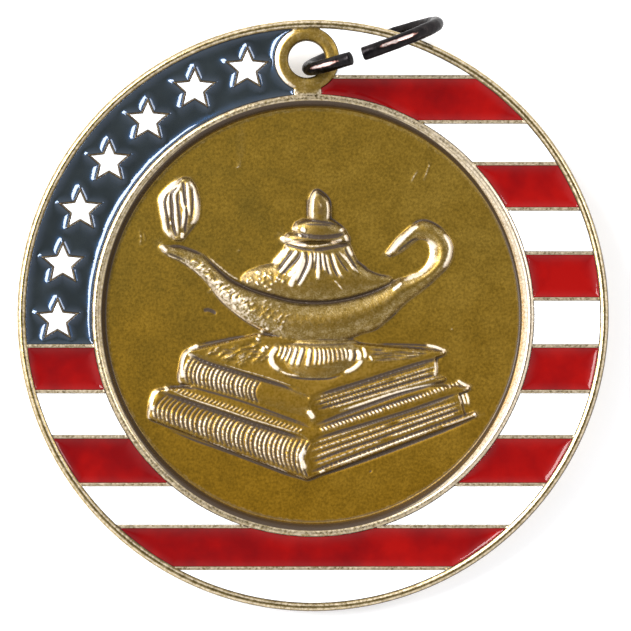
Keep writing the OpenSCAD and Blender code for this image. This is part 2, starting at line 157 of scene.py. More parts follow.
def inside_polygon(p, loop):
    x, y = p[:, :1], p[:, 1:2]
    x0, y0 = loop.T
    x1, y1 = np.roll(x0, -1), np.roll(y0, -1)
    spans = (y0 > y) != (y1 > y)
    at = x0 + (y - y0) * (x1 - x0) / np.where(y1 == y0, 1e-9, y1 - y0)
    return (spans & (x < at)).sum(1) % 2 == 1


def inside_loops(p, loops, batch=4000):
    """Whether points lie inside an odd number of closed loops, worked out in batches."""
    inside = np.zeros(len(p), bool)
    for loop in loops:
        for i in range(0, len(p), batch):
            inside[i:i + batch] ^= inside_polygon(p[i:i + batch], loop)
    return inside


def triangulate(points, edges=(), odd=False):
    """Triangles over plan points that keep some edges. With odd, only those inside the loops."""
    corners, wanted = [Vector(p) for p in points], [tuple(map(int, e)) for e in edges]
    p, lines, f, _, origins, _ = delaunay_2d_cdt(corners, wanted, [], 0, 1e-7, odd)
    p, f = np.array([tuple(q) for q in p], float), np.array(f, int)
    if not odd:
        return p, f
    walls = {frozenset(line) for line, origin in zip(lines, origins) if origin}
    return p, f[odd_levels(f, walls)]


def odd_levels(triangles, walls):
    """Which triangles lie behind an odd number of walls, seen from outside."""
    sides = {}
    for t, tri in enumerate(triangles.tolist()):
        for k in range(3):
            sides.setdefault(frozenset((tri[k - 1], tri[k])), []).append(t)
    links, todo = [[] for _ in triangles], []
    for side, (t, *others) in sides.items():
        crossed = side in walls
        if not others:
            todo.append((t, crossed))
        for other in others:
            links[t].append((other, crossed))
            links[other].append((t, crossed))
    level = [-1] * len(triangles)
    while todo:
        t, crossings = todo.pop()
        if level[t] < 0:
            level[t] = crossings % 2
            todo += [(other, level[t] + crossed) for other, crossed in links[t]]
    return np.array(level) == 1


def loop_edges(start, n):
    i = np.arange(n)
    return np.c_[start + i, start + (i + 1) % n]


def stack(loops):
    """Closed loops as one array of points and one of edges."""
    starts = np.cumsum([0] + [len(loop) for loop in loops])
    edges = [loop_edges(start, len(loop)) for start, loop in zip(starts, loops)]
    return np.vstack(loops), np.vstack(edges)


def wall_distance(p, loops):
    """Distance from plan points to the nearest of some closed loops."""
    corners = np.vstack(loops)
    after = np.vstack([np.roll(loop, -1, 0) for loop in loops])
    before = np.vstack([np.roll(loop, 1, 0) for loop in loops])
    tree = kdtree.KDTree(len(corners))
    for i, c in enumerate(corners):
        tree.insert((c[0], c[1], 0), i)
    tree.balance()
    near = np.array([[k for _, k, _ in tree.find_n((q[0], q[1], 0), 3)] for q in p], int)
    best = np.full(len(p), np.inf)
    for k in near.T:
        a = corners[k]
        for b in (after[k], before[k]):
            ab = b - a
            t = np.clip(((p - a) * ab).sum(1) / np.maximum((ab * ab).sum(1), 1e-12), 0, 1)
            best = np.minimum(best, radius(p - a - ab * t[:, None]))
    return best


def thin_out(points, spacing):
    """Leaves out points that lie closer than spacing to one kept before."""
    key = np.round(points / spacing).astype(int)
    _, first = np.unique(key, axis=0, return_index=True)
    return points[np.sort(first)]


def inset(loop, d, side=1):
    """Points at a distance d from a loop's corners and then from the middles of its sides, to its
    left or, with side -1, to its right."""
    ahead = np.roll(loop, -1, 0)
    along = ahead - loop
    along /= radius(along)[:, None]
    normal = np.c_[-along[:, 1], along[:, 0]] * side
    both = normal + np.roll(normal, 1, 0)
    both /= np.maximum(radius(both), 0.3)[:, None]
    return np.vstack([loop + both * d, (loop + ahead) / 2 + normal * d])


def even_loop(loop, longest=0.33, shortest=0.1, bend=0.2):
    """The loop with crowded points on its smooth runs left out and its long sides divided."""
    keep = []
    for i, b in enumerate(loop):
        u, v = b - (keep[-1] if keep else loop[i - 1]), loop[(i + 1) % len(loop)] - b
        turn = abs(math.atan2(u[0] * v[1] - u[1] * v[0], u @ v))
        if turn > bend or min(np.hypot(*u), np.hypot(*v)) > shortest:
            keep.append(b)
    out = []
    for a, b in zip(keep, keep[1:] + keep[:1]):
        n = max(1, math.ceil(np.hypot(*(b - a)) / longest))
        out += [a + (b - a) * t / n for t in range(n)]
    return np.array(out)


# The cells of the enamel band

def stripe_name(i, side):
    return f"{'red' if i % 2 else 'white'}_stripe_{side}_{i + 1}"


def divider_y(i):
    return MEDAL_R * DIVIDER_LEVELS[i]


def stripe_top(i):
    return MEDAL_R if i == 0 else divider_y(i - 1) - DIVIDER_W / 2


def stripe_bottom(i):
    return -MEDAL_R if i == len(DIVIDER_LEVELS) else divider_y(i) + DIVIDER_W / 2


HALF_POINT = math.radians(36)
STAR_SIDE = math.hypot(1 - STAR_NOTCH * math.cos(HALF_POINT), STAR_NOTCH * math.sin(HALF_POINT))
STAR_INNER_R = STAR_R - STAR_WALL * STAR_SIDE / (STAR_NOTCH * math.sin(HALF_POINT))
STRIPES = [(i, "right") for i in range(SPLIT_STRIPES)]
STRIPES += [(i, "left") for i in range(BLUE_DIVIDER + 1, SPLIT_STRIPES)]
STRIPES += [(i, "bottom") for i in range(SPLIT_STRIPES, len(DIVIDER_LEVELS) + 1)]
CELLS = ["blue_enamel"] + [f"star_enamel_{i + 1}" for i in range(STAR_COUNT)]
CELLS += [stripe_name(*stripe) for stripe in STRIPES]
METAL, OFF_BAND = -1, -2
# The boss's neck is drawn between these radii, past the band on both sides
NECK_REACH = (17, 26)
# Directions from the disc's middle to the hole and across it
HOLE_OUT = HOLE_AT / HOLE_RING
HOLE_SIDE = np.array([-HOLE_OUT[1], HOLE_OUT[0]])


def in_boss(p):
    in_neck = (np.abs(p @ HOLE_SIDE) < BOSS_NECK / 2) & (p @ HOLE_OUT > 0)
    return (radius(p, HOLE_AT) < BOSS_R) | in_neck


def cell_of(p):
    """The number of the cell that each plan point lies in, or METAL or OFF_BAND."""
    x, y = p.T
    cell = np.full(len(p), METAL)
    for k, (i, side) in enumerate(STRIPES):
        here = (y > stripe_bottom(i)) & (y < stripe_top(i))
        if side != "bottom":
            here &= x > 0 if side == "right" else x < 0
        cell[here] = 1 + STAR_COUNT + k
    cell[(x < HOLE_AT[0]) & (y > stripe_bottom(BLUE_DIVIDER))] = 0
    cell[in_boss(p)] = METAL
    for i in range(STAR_COUNT):
        cell[inside_polygon(p, star_outline(star_centre(i), STAR_R))] = METAL
        cell[inside_polygon(p, star_outline(star_centre(i), STAR_INNER_R))] = 1 + i
    r = radius(p)
    cell[(r < BAND_IN) | (r > BAND_OUT)] = OFF_BAND
    return cell


def boundary(triangles):
    """The closed loops of corner numbers round some triangles."""
    half = np.vstack([triangles[:, [0, 1]], triangles[:, [1, 2]], triangles[:, [2, 0]]])
    own = {(int(a), int(b)) for a, b in half}
    after = {a: b for a, b in own if (b, a) not in own}
    loops = []
    while after:
        start = next(iter(after))
        loop, at = [start], after.pop(start)
        while at != start:
            loop.append(at)
            at = after.pop(at)
        loops.append(loop)
    return loops


def cell_loops():
    """The closed outlines of each cell."""
    loops = [circle(BAND_IN, TURN), circle(BAND_OUT, TURN), circle(BOSS_R, BOSS_TURN, HOLE_AT)]
    for i in range(STAR_COUNT):
        loops += [star_outline(star_centre(i), r) for r in (STAR_R, STAR_INNER_R)]
    points, edges = stack(loops)
    lines = []
    for i in range(len(DIVIDER_LEVELS)):
        lines += [((-MEDAL_R, y), (MEDAL_R, y)) for y in (stripe_bottom(i), stripe_top(i + 1))]
    neck = HOLE_SIDE * BOSS_NECK / 2
    lines += [tuple(HOLE_OUT * r + side for r in NECK_REACH) for side in (neck, -neck)]
    ends = len(points) + np.arange(2 * len(lines)).reshape(-1, 2)
    points = np.vstack([points] + [np.array(line) for line in lines])
    p, f = triangulate(points, np.vstack([edges, ends]))
    cell = cell_of(p[f].mean(1))
    return [[even_loop(p[loop]) for loop in boundary(f[cell == k])] for k in range(len(CELLS))]


LOOPS = cell_loops()
ALL_LOOPS = [loop for loops in LOOPS for loop in loops]


# Meshes are gathered as points and faces and welded at the end

PLAIN = (0.0, 0.0, 0.0)


class Solid:
    """Points, faces and three tones for each point: bright, with wear and painted highlight, dark,
    with patina and painted shade, and pale as the rims are.
    """

    TONES = ("crest_and_highlight", "groove_and_shade", "rim")

    def __init__(self):
        self.points, self.faces, self.tones, self.count = [], [], [], 0

    def add(self, points, faces, tone=PLAIN):
        self.points.append(np.asarray(points, float))
        self.tones.append(np.broadcast_to(np.asarray(tone, float), (len(points), 3)))
        self.faces += [tuple(int(i) + self.count for i in f) for f in faces]
        self.count += len(points)

    def strip(self, a, b, tone=PLAIN):
        """Quads between two closed rows of the same length."""
        i, j = loop_edges(0, len(a)).T
        self.add(np.vstack([a, b]), np.c_[i, j, j + len(a), i + len(a)], tone)

    def mesh(self, name):
        data = bpy.data.meshes.new(name)
        data.from_pydata(to_row(np.vstack(self.points)).tolist(), [], self.faces)
        tones = np.vstack(self.tones)
        if tones.any():
            for k, kind in enumerate(self.TONES):
                layer = data.attributes.new(kind, "FLOAT", "POINT")
                layer.data.foreach_set("value", tones[:, k].astype(np.float32))
        bm = bmesh.new()
        bm.from_mesh(data)
        bmesh.ops.remove_doubles(bm, verts=bm.verts, dist=1e-6)
        loose = [v for v in bm.verts if not v.link_faces]
        bmesh.ops.delete(bm, geom=loose, context="VERTS")
        bmesh.ops.recalc_face_normals(bm, faces=bm.faces)
        bm.to_mesh(data)
        bm.free()
        data.polygons.foreach_set("use_smooth", [True] * len(data.polygons))
        return data


def with_z(p, z):
    return np.c_[p, np.broadcast_to(z, len(p))]


def show(name, solid, slot, node):
    """Adds a piece in place of a node, with the material of its slot."""
    data = solid.mesh(name)
    data.materials.append(MATERIALS[slot])
    obj = add_object(name, data)
    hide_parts(node)
    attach(obj, "root")


# The relief is drawn on a grid over the field. Plan places and lengths on it are shares of the
# field's radius, given in thousandths in the tables, and heights are in millimetres.
GRID = 0.05 / FIELD_R
GRID_BOX = (-0.84, -0.84, 0.84, 0.72)
RELIEF_H = 0.92


class Relief:
    """Heights over the field, and how far each place is bright, with wear and painted highlight,
    dark, with patina and painted shade, grainy or pale.
    """

    def __init__(self):
        x0, y0, x1, y1 = GRID_BOX
        self.nx, self.ny = round((x1 - x0) / GRID), round((y1 - y0) / GRID)
        self.u = x0 + np.arange(self.nx) * GRID
        self.v = y0 + np.arange(self.ny) * GRID
        self.h, self.crest_and_highlight, self.groove_and_shade, self.grain, self.pale = np.zeros((5, self.ny, self.nx))

    def raise_form(self, u, v, z, grain):
        """Raises the grid to a surface given by rows of points."""
        def corners(a):
            return a[:-1, :-1], a[1:, :-1], a[1:, 1:], a[:-1, 1:]

        quads = [corners(a) for a in ((u - GRID_BOX[0]) / GRID, (v - GRID_BOX[1]) / GRID, z)]
        for pick in ((0, 1, 2), (0, 2, 3)):
            x, y, z = (np.stack([quad[k].ravel() for k in pick]) for quad in quads)
            area = (x[1] - x[0]) * (y[2] - y[0]) - (x[2] - x[0]) * (y[1] - y[0])
            x, y, z, area = (a[..., np.abs(area) > 1e-9] for a in (x, y, z, area))
            ix, iy = np.floor(x.min(0)).astype(int), np.floor(y.min(0)).astype(int)
            span = int(max((x.max(0) - ix).max(), (y.max(0) - iy).max())) + 1
            for a, b in np.ndindex(span + 1, span + 1):
                gx, gy = ix + a, iy + b
                w1 = ((gx - x[0]) * (y[2] - y[0]) - (x[2] - x[0]) * (gy - y[0])) / area
                w2 = ((x[1] - x[0]) * (gy - y[0]) - (gx - x[0]) * (y[1] - y[0])) / area
                ok = (w1 >= -1e-6) & (w2 >= -1e-6) & (w1 + w2 <= 1 + 1e-6)
                ok &= (gx >= 0) & (gy >= 0) & (gx < self.nx) & (gy < self.ny)
                height = (z[0] + w1 * (z[1] - z[0]) + w2 * (z[2] - z[0]))[ok]
                np.maximum.at(self.h, (gy[ok], gx[ok]), height)
                if grain:
                    np.maximum.at(self.grain, (gy[ok], gx[ok]), grain)

    def slopes(self):
        """How steeply the relief climbs along y and along x."""
        return np.gradient(self.h, GRID * FIELD_R)

    def blurred(self, mm):
        """The heights blurred by a distance."""
        s = mm / FIELD_R / GRID
        n = max(1, math.ceil(3 * s))
        weights = np.exp(-0.5 * (np.arange(-n, n + 1) / s) ** 2)
        weights /= weights.sum()
        out = self.h
        for axis in (0, 1):
            pad = [(n, n) if a == axis else (0, 0) for a in (0, 1)]
            full = np.pad(out, pad, mode="edge")
            i = np.arange(out.shape[axis])
            out = sum(w * np.take(full, i + k, axis) for k, w in enumerate(weights))
        return out

    def noise(self, size_mm, seed):
        """Smooth noise over the grid, from about -1 to 1, with features of a size."""
        u, v = self.u * FIELD_R / size_mm, self.v * FIELD_R / size_mm
        i, j = np.floor(u).astype(int), np.floor(v).astype(int)
        a, b = u - i, v - j
        a, b = (a * a * (3 - 2 * a))[None, :], (b * b * (3 - 2 * b))[:, None]
        i, j = i - i[0], j - j[0]
        shape = (math.ceil(v[-1]) - math.floor(v[0]) + 3, math.ceil(u[-1]) - math.floor(u[0]) + 3)
        table = np.random.default_rng(seed).uniform(-1, 1, shape)

        def row(y):
            return table[np.ix_(y, i)] * (1 - a) + table[np.ix_(y, i + 1)] * a

        return row(j) * (1 - b) + row(j + 1) * b

    def wear_and_paint_light(self, share):
        """Darkens the feet of the forms and brightens their edges, as patina and wear. Paints
        highlight on the slopes to the left and shade on those to the right.
        """
        across = self.slopes()[1]
        left, right = rise(across, 0.3, 0.5), rise(-across, 0.3, 0.5)
        hollow = self.blurred(0.1) - self.h
        broken = 0.75 + 0.45 * self.noise(0.9, 21)
        self.groove_and_shade = np.maximum(self.groove_and_shade, 0.85 * broken * rise(hollow, 0.010, 0.03))
        self.groove_and_shade = np.maximum(self.groove_and_shade, 0.3 * share * right)
        edges = 0.3 * broken * rise(-hollow, 0.012, 0.03)
        self.crest_and_highlight = np.maximum(edges, 0.75 * share * broken * left)
        self.crest_and_highlight *= np.clip(1.2 - self.groove_and_shade, 0, 1)

    def granulate_and_paint_highlight(self):
        """Gives the lamp's bowl and shoulder their grain, stronger on the left, and paints a
        highlight on the grain where it faces the lower left.
        """
        slope_y, slope_x = self.slopes()
        left = rise(self.u, 0.10, -0.45)[None, :]
        lit = left * np.clip(0.2 + 1.3 * (0.6 * slope_x + 0.8 * slope_y), 0, 1)
        mix = 0.65 * self.noise(0.12, 11) + 0.35 * self.noise(0.24, 12)
        share = self.grain * (0.25 + 0.75 * left)
        self.h += 0.028 * share * mix
        bright = 0.6 * self.grain * lit * np.clip(mix * 1.3 + 0.55, 0, 1)
        self.crest_and_highlight = np.maximum(self.crest_and_highlight, bright)
        self.groove_and_shade = np.maximum(self.groove_and_shade, 0.5 * share * np.clip(-mix * 1.8 - 0.3, 0, 1))
        self.pale = np.maximum(self.pale, self.grain * (0.18 + 0.75 * lit))
        shoulder = (self.grain > 0.5) & (self.grain < 0.7)
        self.groove_and_shade = np.maximum(self.groove_and_shade, 0.4 * left * shoulder)

    def window(self, p, reach):
        """The part of the grid within reach of some points, as rows and columns."""
        i, j = (np.searchsorted(at, [x.min() - reach, x.max() + reach])
                for at, x in zip((self.u, self.v), p.T))
        return slice(*j), slice(*i)

    def stroke(self, points, width, height, tone, taper=0.3, rough=0.0):
        """A raised or sunk line along some points, tapered at its ends and uneven by rough. A tone
        above 0 makes it bright, as wear and painted highlight, and one below 0 darkens it."""
        p = smooth_line(points, GRID * 4)
        here = self.window(p, 2.2 * width)
        u, v = np.meshgrid(self.u[here[1]], self.v[here[0]])
        if not u.size:
            return
        far, place = np.full(u.shape, np.inf), np.zeros(u.shape)
        run = np.r_[0, np.cumsum(radius(np.diff(p, axis=0)))]
        for a, d, s0, s1 in zip(p, np.diff(p, axis=0), run, run[1:]):
            t = np.clip(((u - a[0]) * d[0] + (v - a[1]) * d[1]) / max(d @ d, 1e-12), 0, 1)
            away = np.hypot(u - a[0] - t * d[0], v - a[1] - t * d[1])
            near = away < far
            far[near], place[near] = away[near], (s0 + t * (s1 - s0))[near]
        s = place / run[-1]
        ends = np.clip(np.minimum(s, 1 - s) / taper, 0, 1) ** 0.5
        if rough:
            waves = zip(RNG.uniform(150, 700, 4), RNG.uniform(0, 6.3, 4))
            uneven = sum(np.sin(place * f + start) for f, start in waves) / 4
            ends = ends * np.clip(1 + rough * uneven, 0, 1.6)
        shape = bell(far, 0, width) * ends
        self.h[here] += height * shape
        pale = 0.6 * max(tone, 0) * bell(far, 0, 1.2 * width)
        self.pale[here] = np.maximum(self.pale[here], pale)
        marked, cleared = (self.crest_and_highlight, self.groove_and_shade) if tone > 0 else (self.groove_and_shade, self.crest_and_highlight)
        marked[here] = np.maximum(marked[here], abs(tone) * shape)
        cleared[here] *= 1 - 0.8 * np.clip(shape, 0, 1)

    def sample(self, values, u, v):
        """Values on the grid at places between its points."""
        x = np.clip((u - GRID_BOX[0]) / GRID, 0, self.nx - 1.001)
        y = np.clip((v - GRID_BOX[1]) / GRID, 0, self.ny - 1.001)
        i, j = x.astype(int), y.astype(int)
        a, b = x - i, y - j
        return (values[j, i] * (1 - a) * (1 - b) + values[j, i + 1] * a * (1 - b)
                + values[j + 1, i] * (1 - a) * b + values[j + 1, i + 1] * a * b)


def smooth_line(points, step):
    """A smooth line through some points, divided at a step."""
    p = np.array(points, float)
    if len(p) < 3:
        n = max(1, math.ceil(np.hypot(*(p[-1] - p[0])) / step))
        return p[0] + (p[-1] - p[0]) * np.linspace(0, 1, n + 1)[:, None]
    q = np.vstack([2 * p[0] - p[1], p, 2 * p[-1] - p[-2]])
    out = []
    for a, b, c, d in zip(q, q[1:], q[2:], q[3:]):
        n = max(1, math.ceil(np.hypot(*(c - b)) / step))
        t = (np.arange(n) / n)[:, None]
        out.append(0.5 * (2 * b + (c - a) * t + (2 * a - 5 * b + 4 * c - d) * t ** 2
                          + (3 * b - a - 3 * c + d) * t ** 3))
    return np.vstack(out + [p[-1:]])


def smooth_rows(table, n):
    """A table's rows brought to n rows: straight between two, and smooth through more."""
    rows = np.array(table, float)
    middle = (rows[:, :2] + rows[:, 2:4]) / 2
    s = np.r_[0, np.cumsum(radius(np.diff(middle, axis=0)) + 1e-9)]
    at = np.linspace(0, s[-1], n)
    if len(rows) < 3:
        return np.stack([np.interp(at, s, column) for column in rows.T], 1)
    slope = np.gradient(rows, s, axis=0)
    i = np.clip(np.searchsorted(s, at, side="right") - 1, 0, len(s) - 2)
    h = (s[i + 1] - s[i])[:, None]
    t = (at - s[i])[:, None] / h
    return ((2 * t ** 3 - 3 * t ** 2 + 1) * rows[i] + (t ** 3 - 2 * t ** 2 + t) * h * slope[i]
            + (3 * t ** 2 - 2 * t ** 3) * rows[i + 1] + (t ** 3 - t ** 2) * h * slope[i + 1])


def loft(rel, table, section, along, across, grain=0.0):
    """Raises a form through rows [x1, y1, x2, y2, h1, h2], with section(t) across them."""
    x1, y1, x2, y2, h1, h2 = (c[:, None] for c in smooth_rows(table, along).T)
    t = np.linspace(0, 1, across)[None, :]
    height = RELIEF_H * (h1 + (h2 - h1) * t) * section(t)
    rel.raise_form(x1 + (x2 - x1) * t, y1 + (y2 - y1) * t, height, grain)


def arch(side, power):
    """A section that starts and ends at a share of its height."""
    return lambda t: side + (1 - side) * np.sin(np.pi * np.clip(t, 0, 1)) ** power


# The lamp's forms: points along and across the rows, the side and power of the arch, the grain,
# then the rows. Columns of the rows, in thousandths: left x and y, right x and y, and the heights
# at both as shares of RELIEF_H.
FORMS = [
    # The bowl, from the spout's tip to the handle's
    (300, 33, 0.12, 0.75, 1.0, [
        [-699, 290, -730, 333, 350, 350], [-632, 259, -640, 325, 420, 420],
        [-545, 195, -520, 285, 500, 500], [-494, 141, -455, 222, 600, 600],
        [-442, 74, -391, 170, 680, 680], [-340, -13, -288, 120, 780, 780],
        [-247, -69, -186, 90, 880, 880], [-130, -115, -83, 67, 960, 960],
        [10, -135, 10, 62, 1000, 1000], [120, -125, 100, 70, 980, 980],
        [220, -90, 200, 88, 920, 920], [309, -59, 290, 115, 840, 840],
        [385, 5, 350, 142, 760, 760], [450, 68, 405, 172, 680, 680],
        [514, 115, 455, 182, 620, 620], [612, 203, 535, 218, 560, 560],
        [653, 249, 565, 254, 540, 540], [668, 300, 578, 295, 540, 540],
        [660, 351, 571, 331, 540, 540], [627, 403, 555, 352, 540, 540],
        [581, 438, 530, 366, 540, 540], [529, 454, 504, 367, 520, 520],
        [475, 428, 485, 355, 500, 500], [430, 393, 460, 335, 460, 460],
        [395, 358, 425, 308, 420, 420], [350, 297, 375, 283, 360, 360],
    ]),
    # The shoulder
    (120, 25, 0.35, 0.7, 0.6, [
        [-345, 150, -343, 185, 60, 40], [-318, 134, -320, 206, 220, 120],
        [-275, 116, -280, 224, 420, 280], [-186, 90, -190, 245, 660, 600],
        [-83, 67, -70, 280, 800, 800], [20, 62, 20, 290, 860, 860], [120, 72, 110, 280, 800, 800],
        [200, 88, 205, 255, 700, 660], [290, 115, 285, 205, 500, 440],
        [372, 152, 375, 182, 340, 300],
    ]),
    # The lid
    (60, 41, 0.15, 0.7, 0, [
        [-182, 180, 225, 180, 860, 860], [-187, 235, 218, 235, 920, 920],
        [-143, 290, 195, 290, 920, 920], [-130, 345, 172, 345, 900, 900],
    ]),
    # The foot's ring and its neck
    (40, 41, 0.15, 0.7, 0, [
        [-90, -300, 120, -300, 840, 840], [-160, -276, 190, -276, 900, 900],
        [-200, -220, 262, -220, 940, 940], [-196, -180, 270, -180, 920, 920],
    ]),
    (40, 41, 0.15, 0.7, 0, [
        [-165, -244, 235, -244, 980, 980], [-178, -190, 250, -190, 1000, 1000],
        [-150, -150, 235, -150, 900, 900], [-120, -120, 200, -120, 600, 600],
    ]),
    # The ring round the lid, the collar and the knob
    (30, 41, 0.3, 0.6, 0, [
        [-134, 352, 172, 352, 940, 940], [-134, 366, 172, 366, 1000, 1000],
        [-122, 388, 164, 388, 940, 940],
    ]),
    (30, 41, 0.3, 0.6, 0, [
        [-96, 380, 160, 380, 940, 940], [-88, 400, 156, 400, 980, 980],
        [-74, 444, 106, 444, 880, 880], [-50, 456, 90, 456, 800, 800],
    ]),
    (40, 21, 0.45, 0.35, 0, [
        [-14, 448, 78, 448, 840, 840], [-13, 530, 78, 530, 880, 880],
        [-9, 560, 68, 560, 820, 820], [0, 580, 46, 582, 700, 700], [6, 592, 24, 598, 560, 560],
    ]),
    # The flame
    (60, 21, 0.3, 0.5, 0, [
        [-626, 656, -588, 656, 300, 300], [-678, 610, -558, 610, 420, 420],
        [-718, 560, -547, 560, 500, 500], [-714, 500, -545, 500, 520, 520],
        [-697, 440, -563, 440, 480, 480], [-682, 400, -593, 400, 400, 400],
        [-662, 358, -622, 358, 300, 300],
    ]),
]
# The books' corners: left, back, right and front of the top cover, the spine's left and front
# foot, the page edge's right foot. Columns: x, y, height
UPPER_BOOK = np.array([
    [-600, -170, 460], [-275, -92, 360], [628, -172, 460], [-20, -385, 880], [-630, -322, 380],
    [-10, -495, 740], [632, -312, 380],
]) / 1000
LOWER_BOOK = np.array([
    [-735, -355, 400], [-275, -300, 340], [742, -342, 400], [-25, -590, 760], [-778, -495, 300],
    [-30, -785, 600], [782, -478, 300],
]) / 1000
# The cover boards' edges. Columns: their start and end down the page edge, share of its height
BOARDS = [(-0.02, 0.10, 1.0), (0.86, 1.0, 0.9)]
# The rounded end of a spine. Columns: how far it stands out, its margin at top and foot, share of
# the height
SPINE_END = [(0.020, 0.3, 0.5), (0.014, 0.12, 0.8), (0, 0, 0.95), (-0.02, 0.1, 0.9)]
# The pages end at this share of the cover's length
PAGES_END = 0.935


def book_forms(rel, book):
    """The cover board, the rounded spine and the page edge of a book."""
    left, back, right, front, spine_left, spine_front, page_right = book

    def row(a, b, share=1.0):
        return [a[0], a[1], b[0], b[1], a[2] * share, b[2] * share]

    loft(rel, [row(left, front), row(back, right)], np.ones_like, 60, 60)
    loft(rel, [row(left, spine_left), row(front, spine_front)], arch(0.72, 0.5), 60, 24)
    last = [between(a, b, PAGES_END) for a, b in ((front, right), (spine_front, page_right))]
    loft(rel, [row(front, spine_front), row(*last)], lambda t: 0.96 - 0.1 * t, 60, 24)
    for start, stop, share in BOARDS:
        ends = [row(between(a, b, start), between(a, b, stop))
                for a, b in ((front, spine_front), (right, page_right))]
        loft(rel, ends, lambda t: share * arch(0.75, 0.5)(t), 60, 8)
    end = [row(between(left, spine_left, margin) - [out, 0, 0],
               between(spine_left, left, margin) - [out, 0, 0], share)
           for out, margin, share in SPINE_END]
    loft(rel, end, arch(0.6, 0.6), 24, 24)


# The fine relief. Widths, heights and tones of its strokes are in that order everywhere.

RIB_W, RIB_TOP = 0.005, 0.022


def ribs(rel, top, foot, count, first, last, lean, start):
    """Curved ribs down a spine, bright from start(place) on, with dark gaps between them."""
    step = (last - first) / count
    top = [corner - [0, RIB_TOP, 0] for corner in top]

    def line(s, t0, t1):
        a, b = between(*top, s), between(*foot, s)
        return [between(a, b, t)[:2] + [lean * ((t - 0.5) / 0.5) ** 2, 0]
                for t in np.linspace(t0, t1, 5)]

    for i in range(count):
        s = first + step * (i + 0.5 + RNG.uniform(-0.1, 0.1))
        rel.stroke(line(s, start(s), 0.98), RIB_W, 0.08, RNG.uniform(0.4, 0.7), 0.25, 0.6)
        rel.stroke(line(s + step / 2, -0.02, 1.0), RIB_W, -0.06, -RNG.uniform(0.7, 0.9), 0.1, 0.3)


# Lines along the page edges. Columns: place down the edge, start and end along it, width in
# thousandths, height, tone
UPPER_PAGES = [
    [0.17, 0.04, 0.92, 4.5, 0.05, 0.8], [0.27, 0.02, 0.90, 4.5, -0.05, -0.6],
    [0.37, 0.05, 0.60, 4.5, 0.05, 0.7], [0.40, 0.62, 0.92, 4.5, 0.05, 0.8],
    [0.47, 0.03, 0.90, 5, -0.06, -0.8], [0.57, 0.10, 0.93, 4.5, 0.05, 0.8],
    [0.68, 0.05, 0.95, 6.5, -0.07, -0.9], [0.79, 0.15, 0.97, 5, 0.05, 0.8],
]
LOWER_PAGES = [
    [0.16, 0.03, 0.90, 4.5, 0.05, 0.8], [0.25, 0.02, 0.88, 4.5, -0.05, -0.6],
    [0.33, 0.03, 0.50, 4.5, 0.06, 0.8], [0.35, 0.55, 0.92, 4.5, 0.06, 0.9],
    [0.42, 0.05, 0.92, 5, -0.06, -0.8], [0.50, 0.02, 0.93, 4.5, 0.05, 0.9],
    [0.60, 0.03, 0.94, 6.5, -0.08, -0.9], [0.70, 0.05, 0.45, 4.5, 0.05, 0.8],
    [0.68, 0.50, 0.90, 4.5, 0.05, 0.9], [0.84, 0.02, 0.97, 8, -0.08, -0.9],
]
PAGE_JITTER = 0.0016


def page_lines(rel, book, lines):
    right, front, spine_front, page_right = book[[2, 3, 5, 6]]
    for place, s0, s1, width, height, tone in lines:
        a, b = between(front, spine_front, place), between(right, page_right, place)
        line = [between(a, b, s)[:2] + RNG.uniform(-PAGE_JITTER, PAGE_JITTER, 2)
                for s in np.linspace(s0, s1, 6)]
        tone = 0.62 * tone if tone > 0 else tone
        rel.stroke(line, 1.1 * width / 1000, height, tone, 0.08, 0.6)


# Patches of short marks. Columns: the four corners' x and y, how many marks, their length and
# width, all in thousandths, then height, tone, spread of their direction and turn from the patch's
# first side, in radians
COVER_PATCHES = [
    ([-560, -175, -260, -115, -200, -200, -340, -235], 50, 60, 4.5, 0.035, 0.45, 0.1, 0.35),
    ([-520, -180, -260, -120, -200, -200, -340, -235], 30, 60, 4.5, -0.035, -0.6, 0.1, -0.2),
    ([300, -160, 560, -165, 460, -205, 300, -220], 26, 100, 4, 0.03, 0.6, 0.08, 0),
    ([300, -155, 560, -160, 460, -205, 300, -220], 26, 100, 4, -0.035, -0.7, 0.08, 0),
]
LAMP_PATCHES = [
    # Slanted strokes on the bowl's lower left
    ([-500, 130, -300, 0, -280, 60, -460, 180], 70, 35, 4.8, 0.045, 0.9, 0.25, 1.3),
    ([-440, 70, -140, -90, -100, 20, -360, 120], 60, 32, 4.8, 0.035, 0.6, 0.3, 1.2),
    ([-600, 240, -500, 160, -470, 210, -560, 280], 22, 30, 4.5, 0.045, 0.7, 0.4, 0.8),
    # Beads on the shoulder's left end
    ([-325, 155, -150, 92, -130, 200, -275, 222], 40, 16, 5.5, 0.05, 0.9, 1.2, 0.9),
]


def hatch(rel, corners, count, length, width, height, tone, spread, turn):
    """Scatters the marks of a patch."""
    c = np.reshape(corners, (4, 2)) / 1000
    for _ in range(count):
        s, t = RNG.uniform(0, 1, 2)
        at = between(between(c[0], c[1], s), between(c[3], c[2], s), t)
        x, y = between(c[1] - c[0], c[2] - c[3], t)
        k = math.atan2(y, x) + turn + RNG.uniform(-spread, spread)
        half = polar(length / 1000 * RNG.uniform(0.5, 1.2) / 2, k)
        rel.stroke([at - half, at + half], width / 1000, height * RNG.uniform(0.6, 1.2),
                   tone * RNG.uniform(0.4, 1.0), 0.4, 0.3)


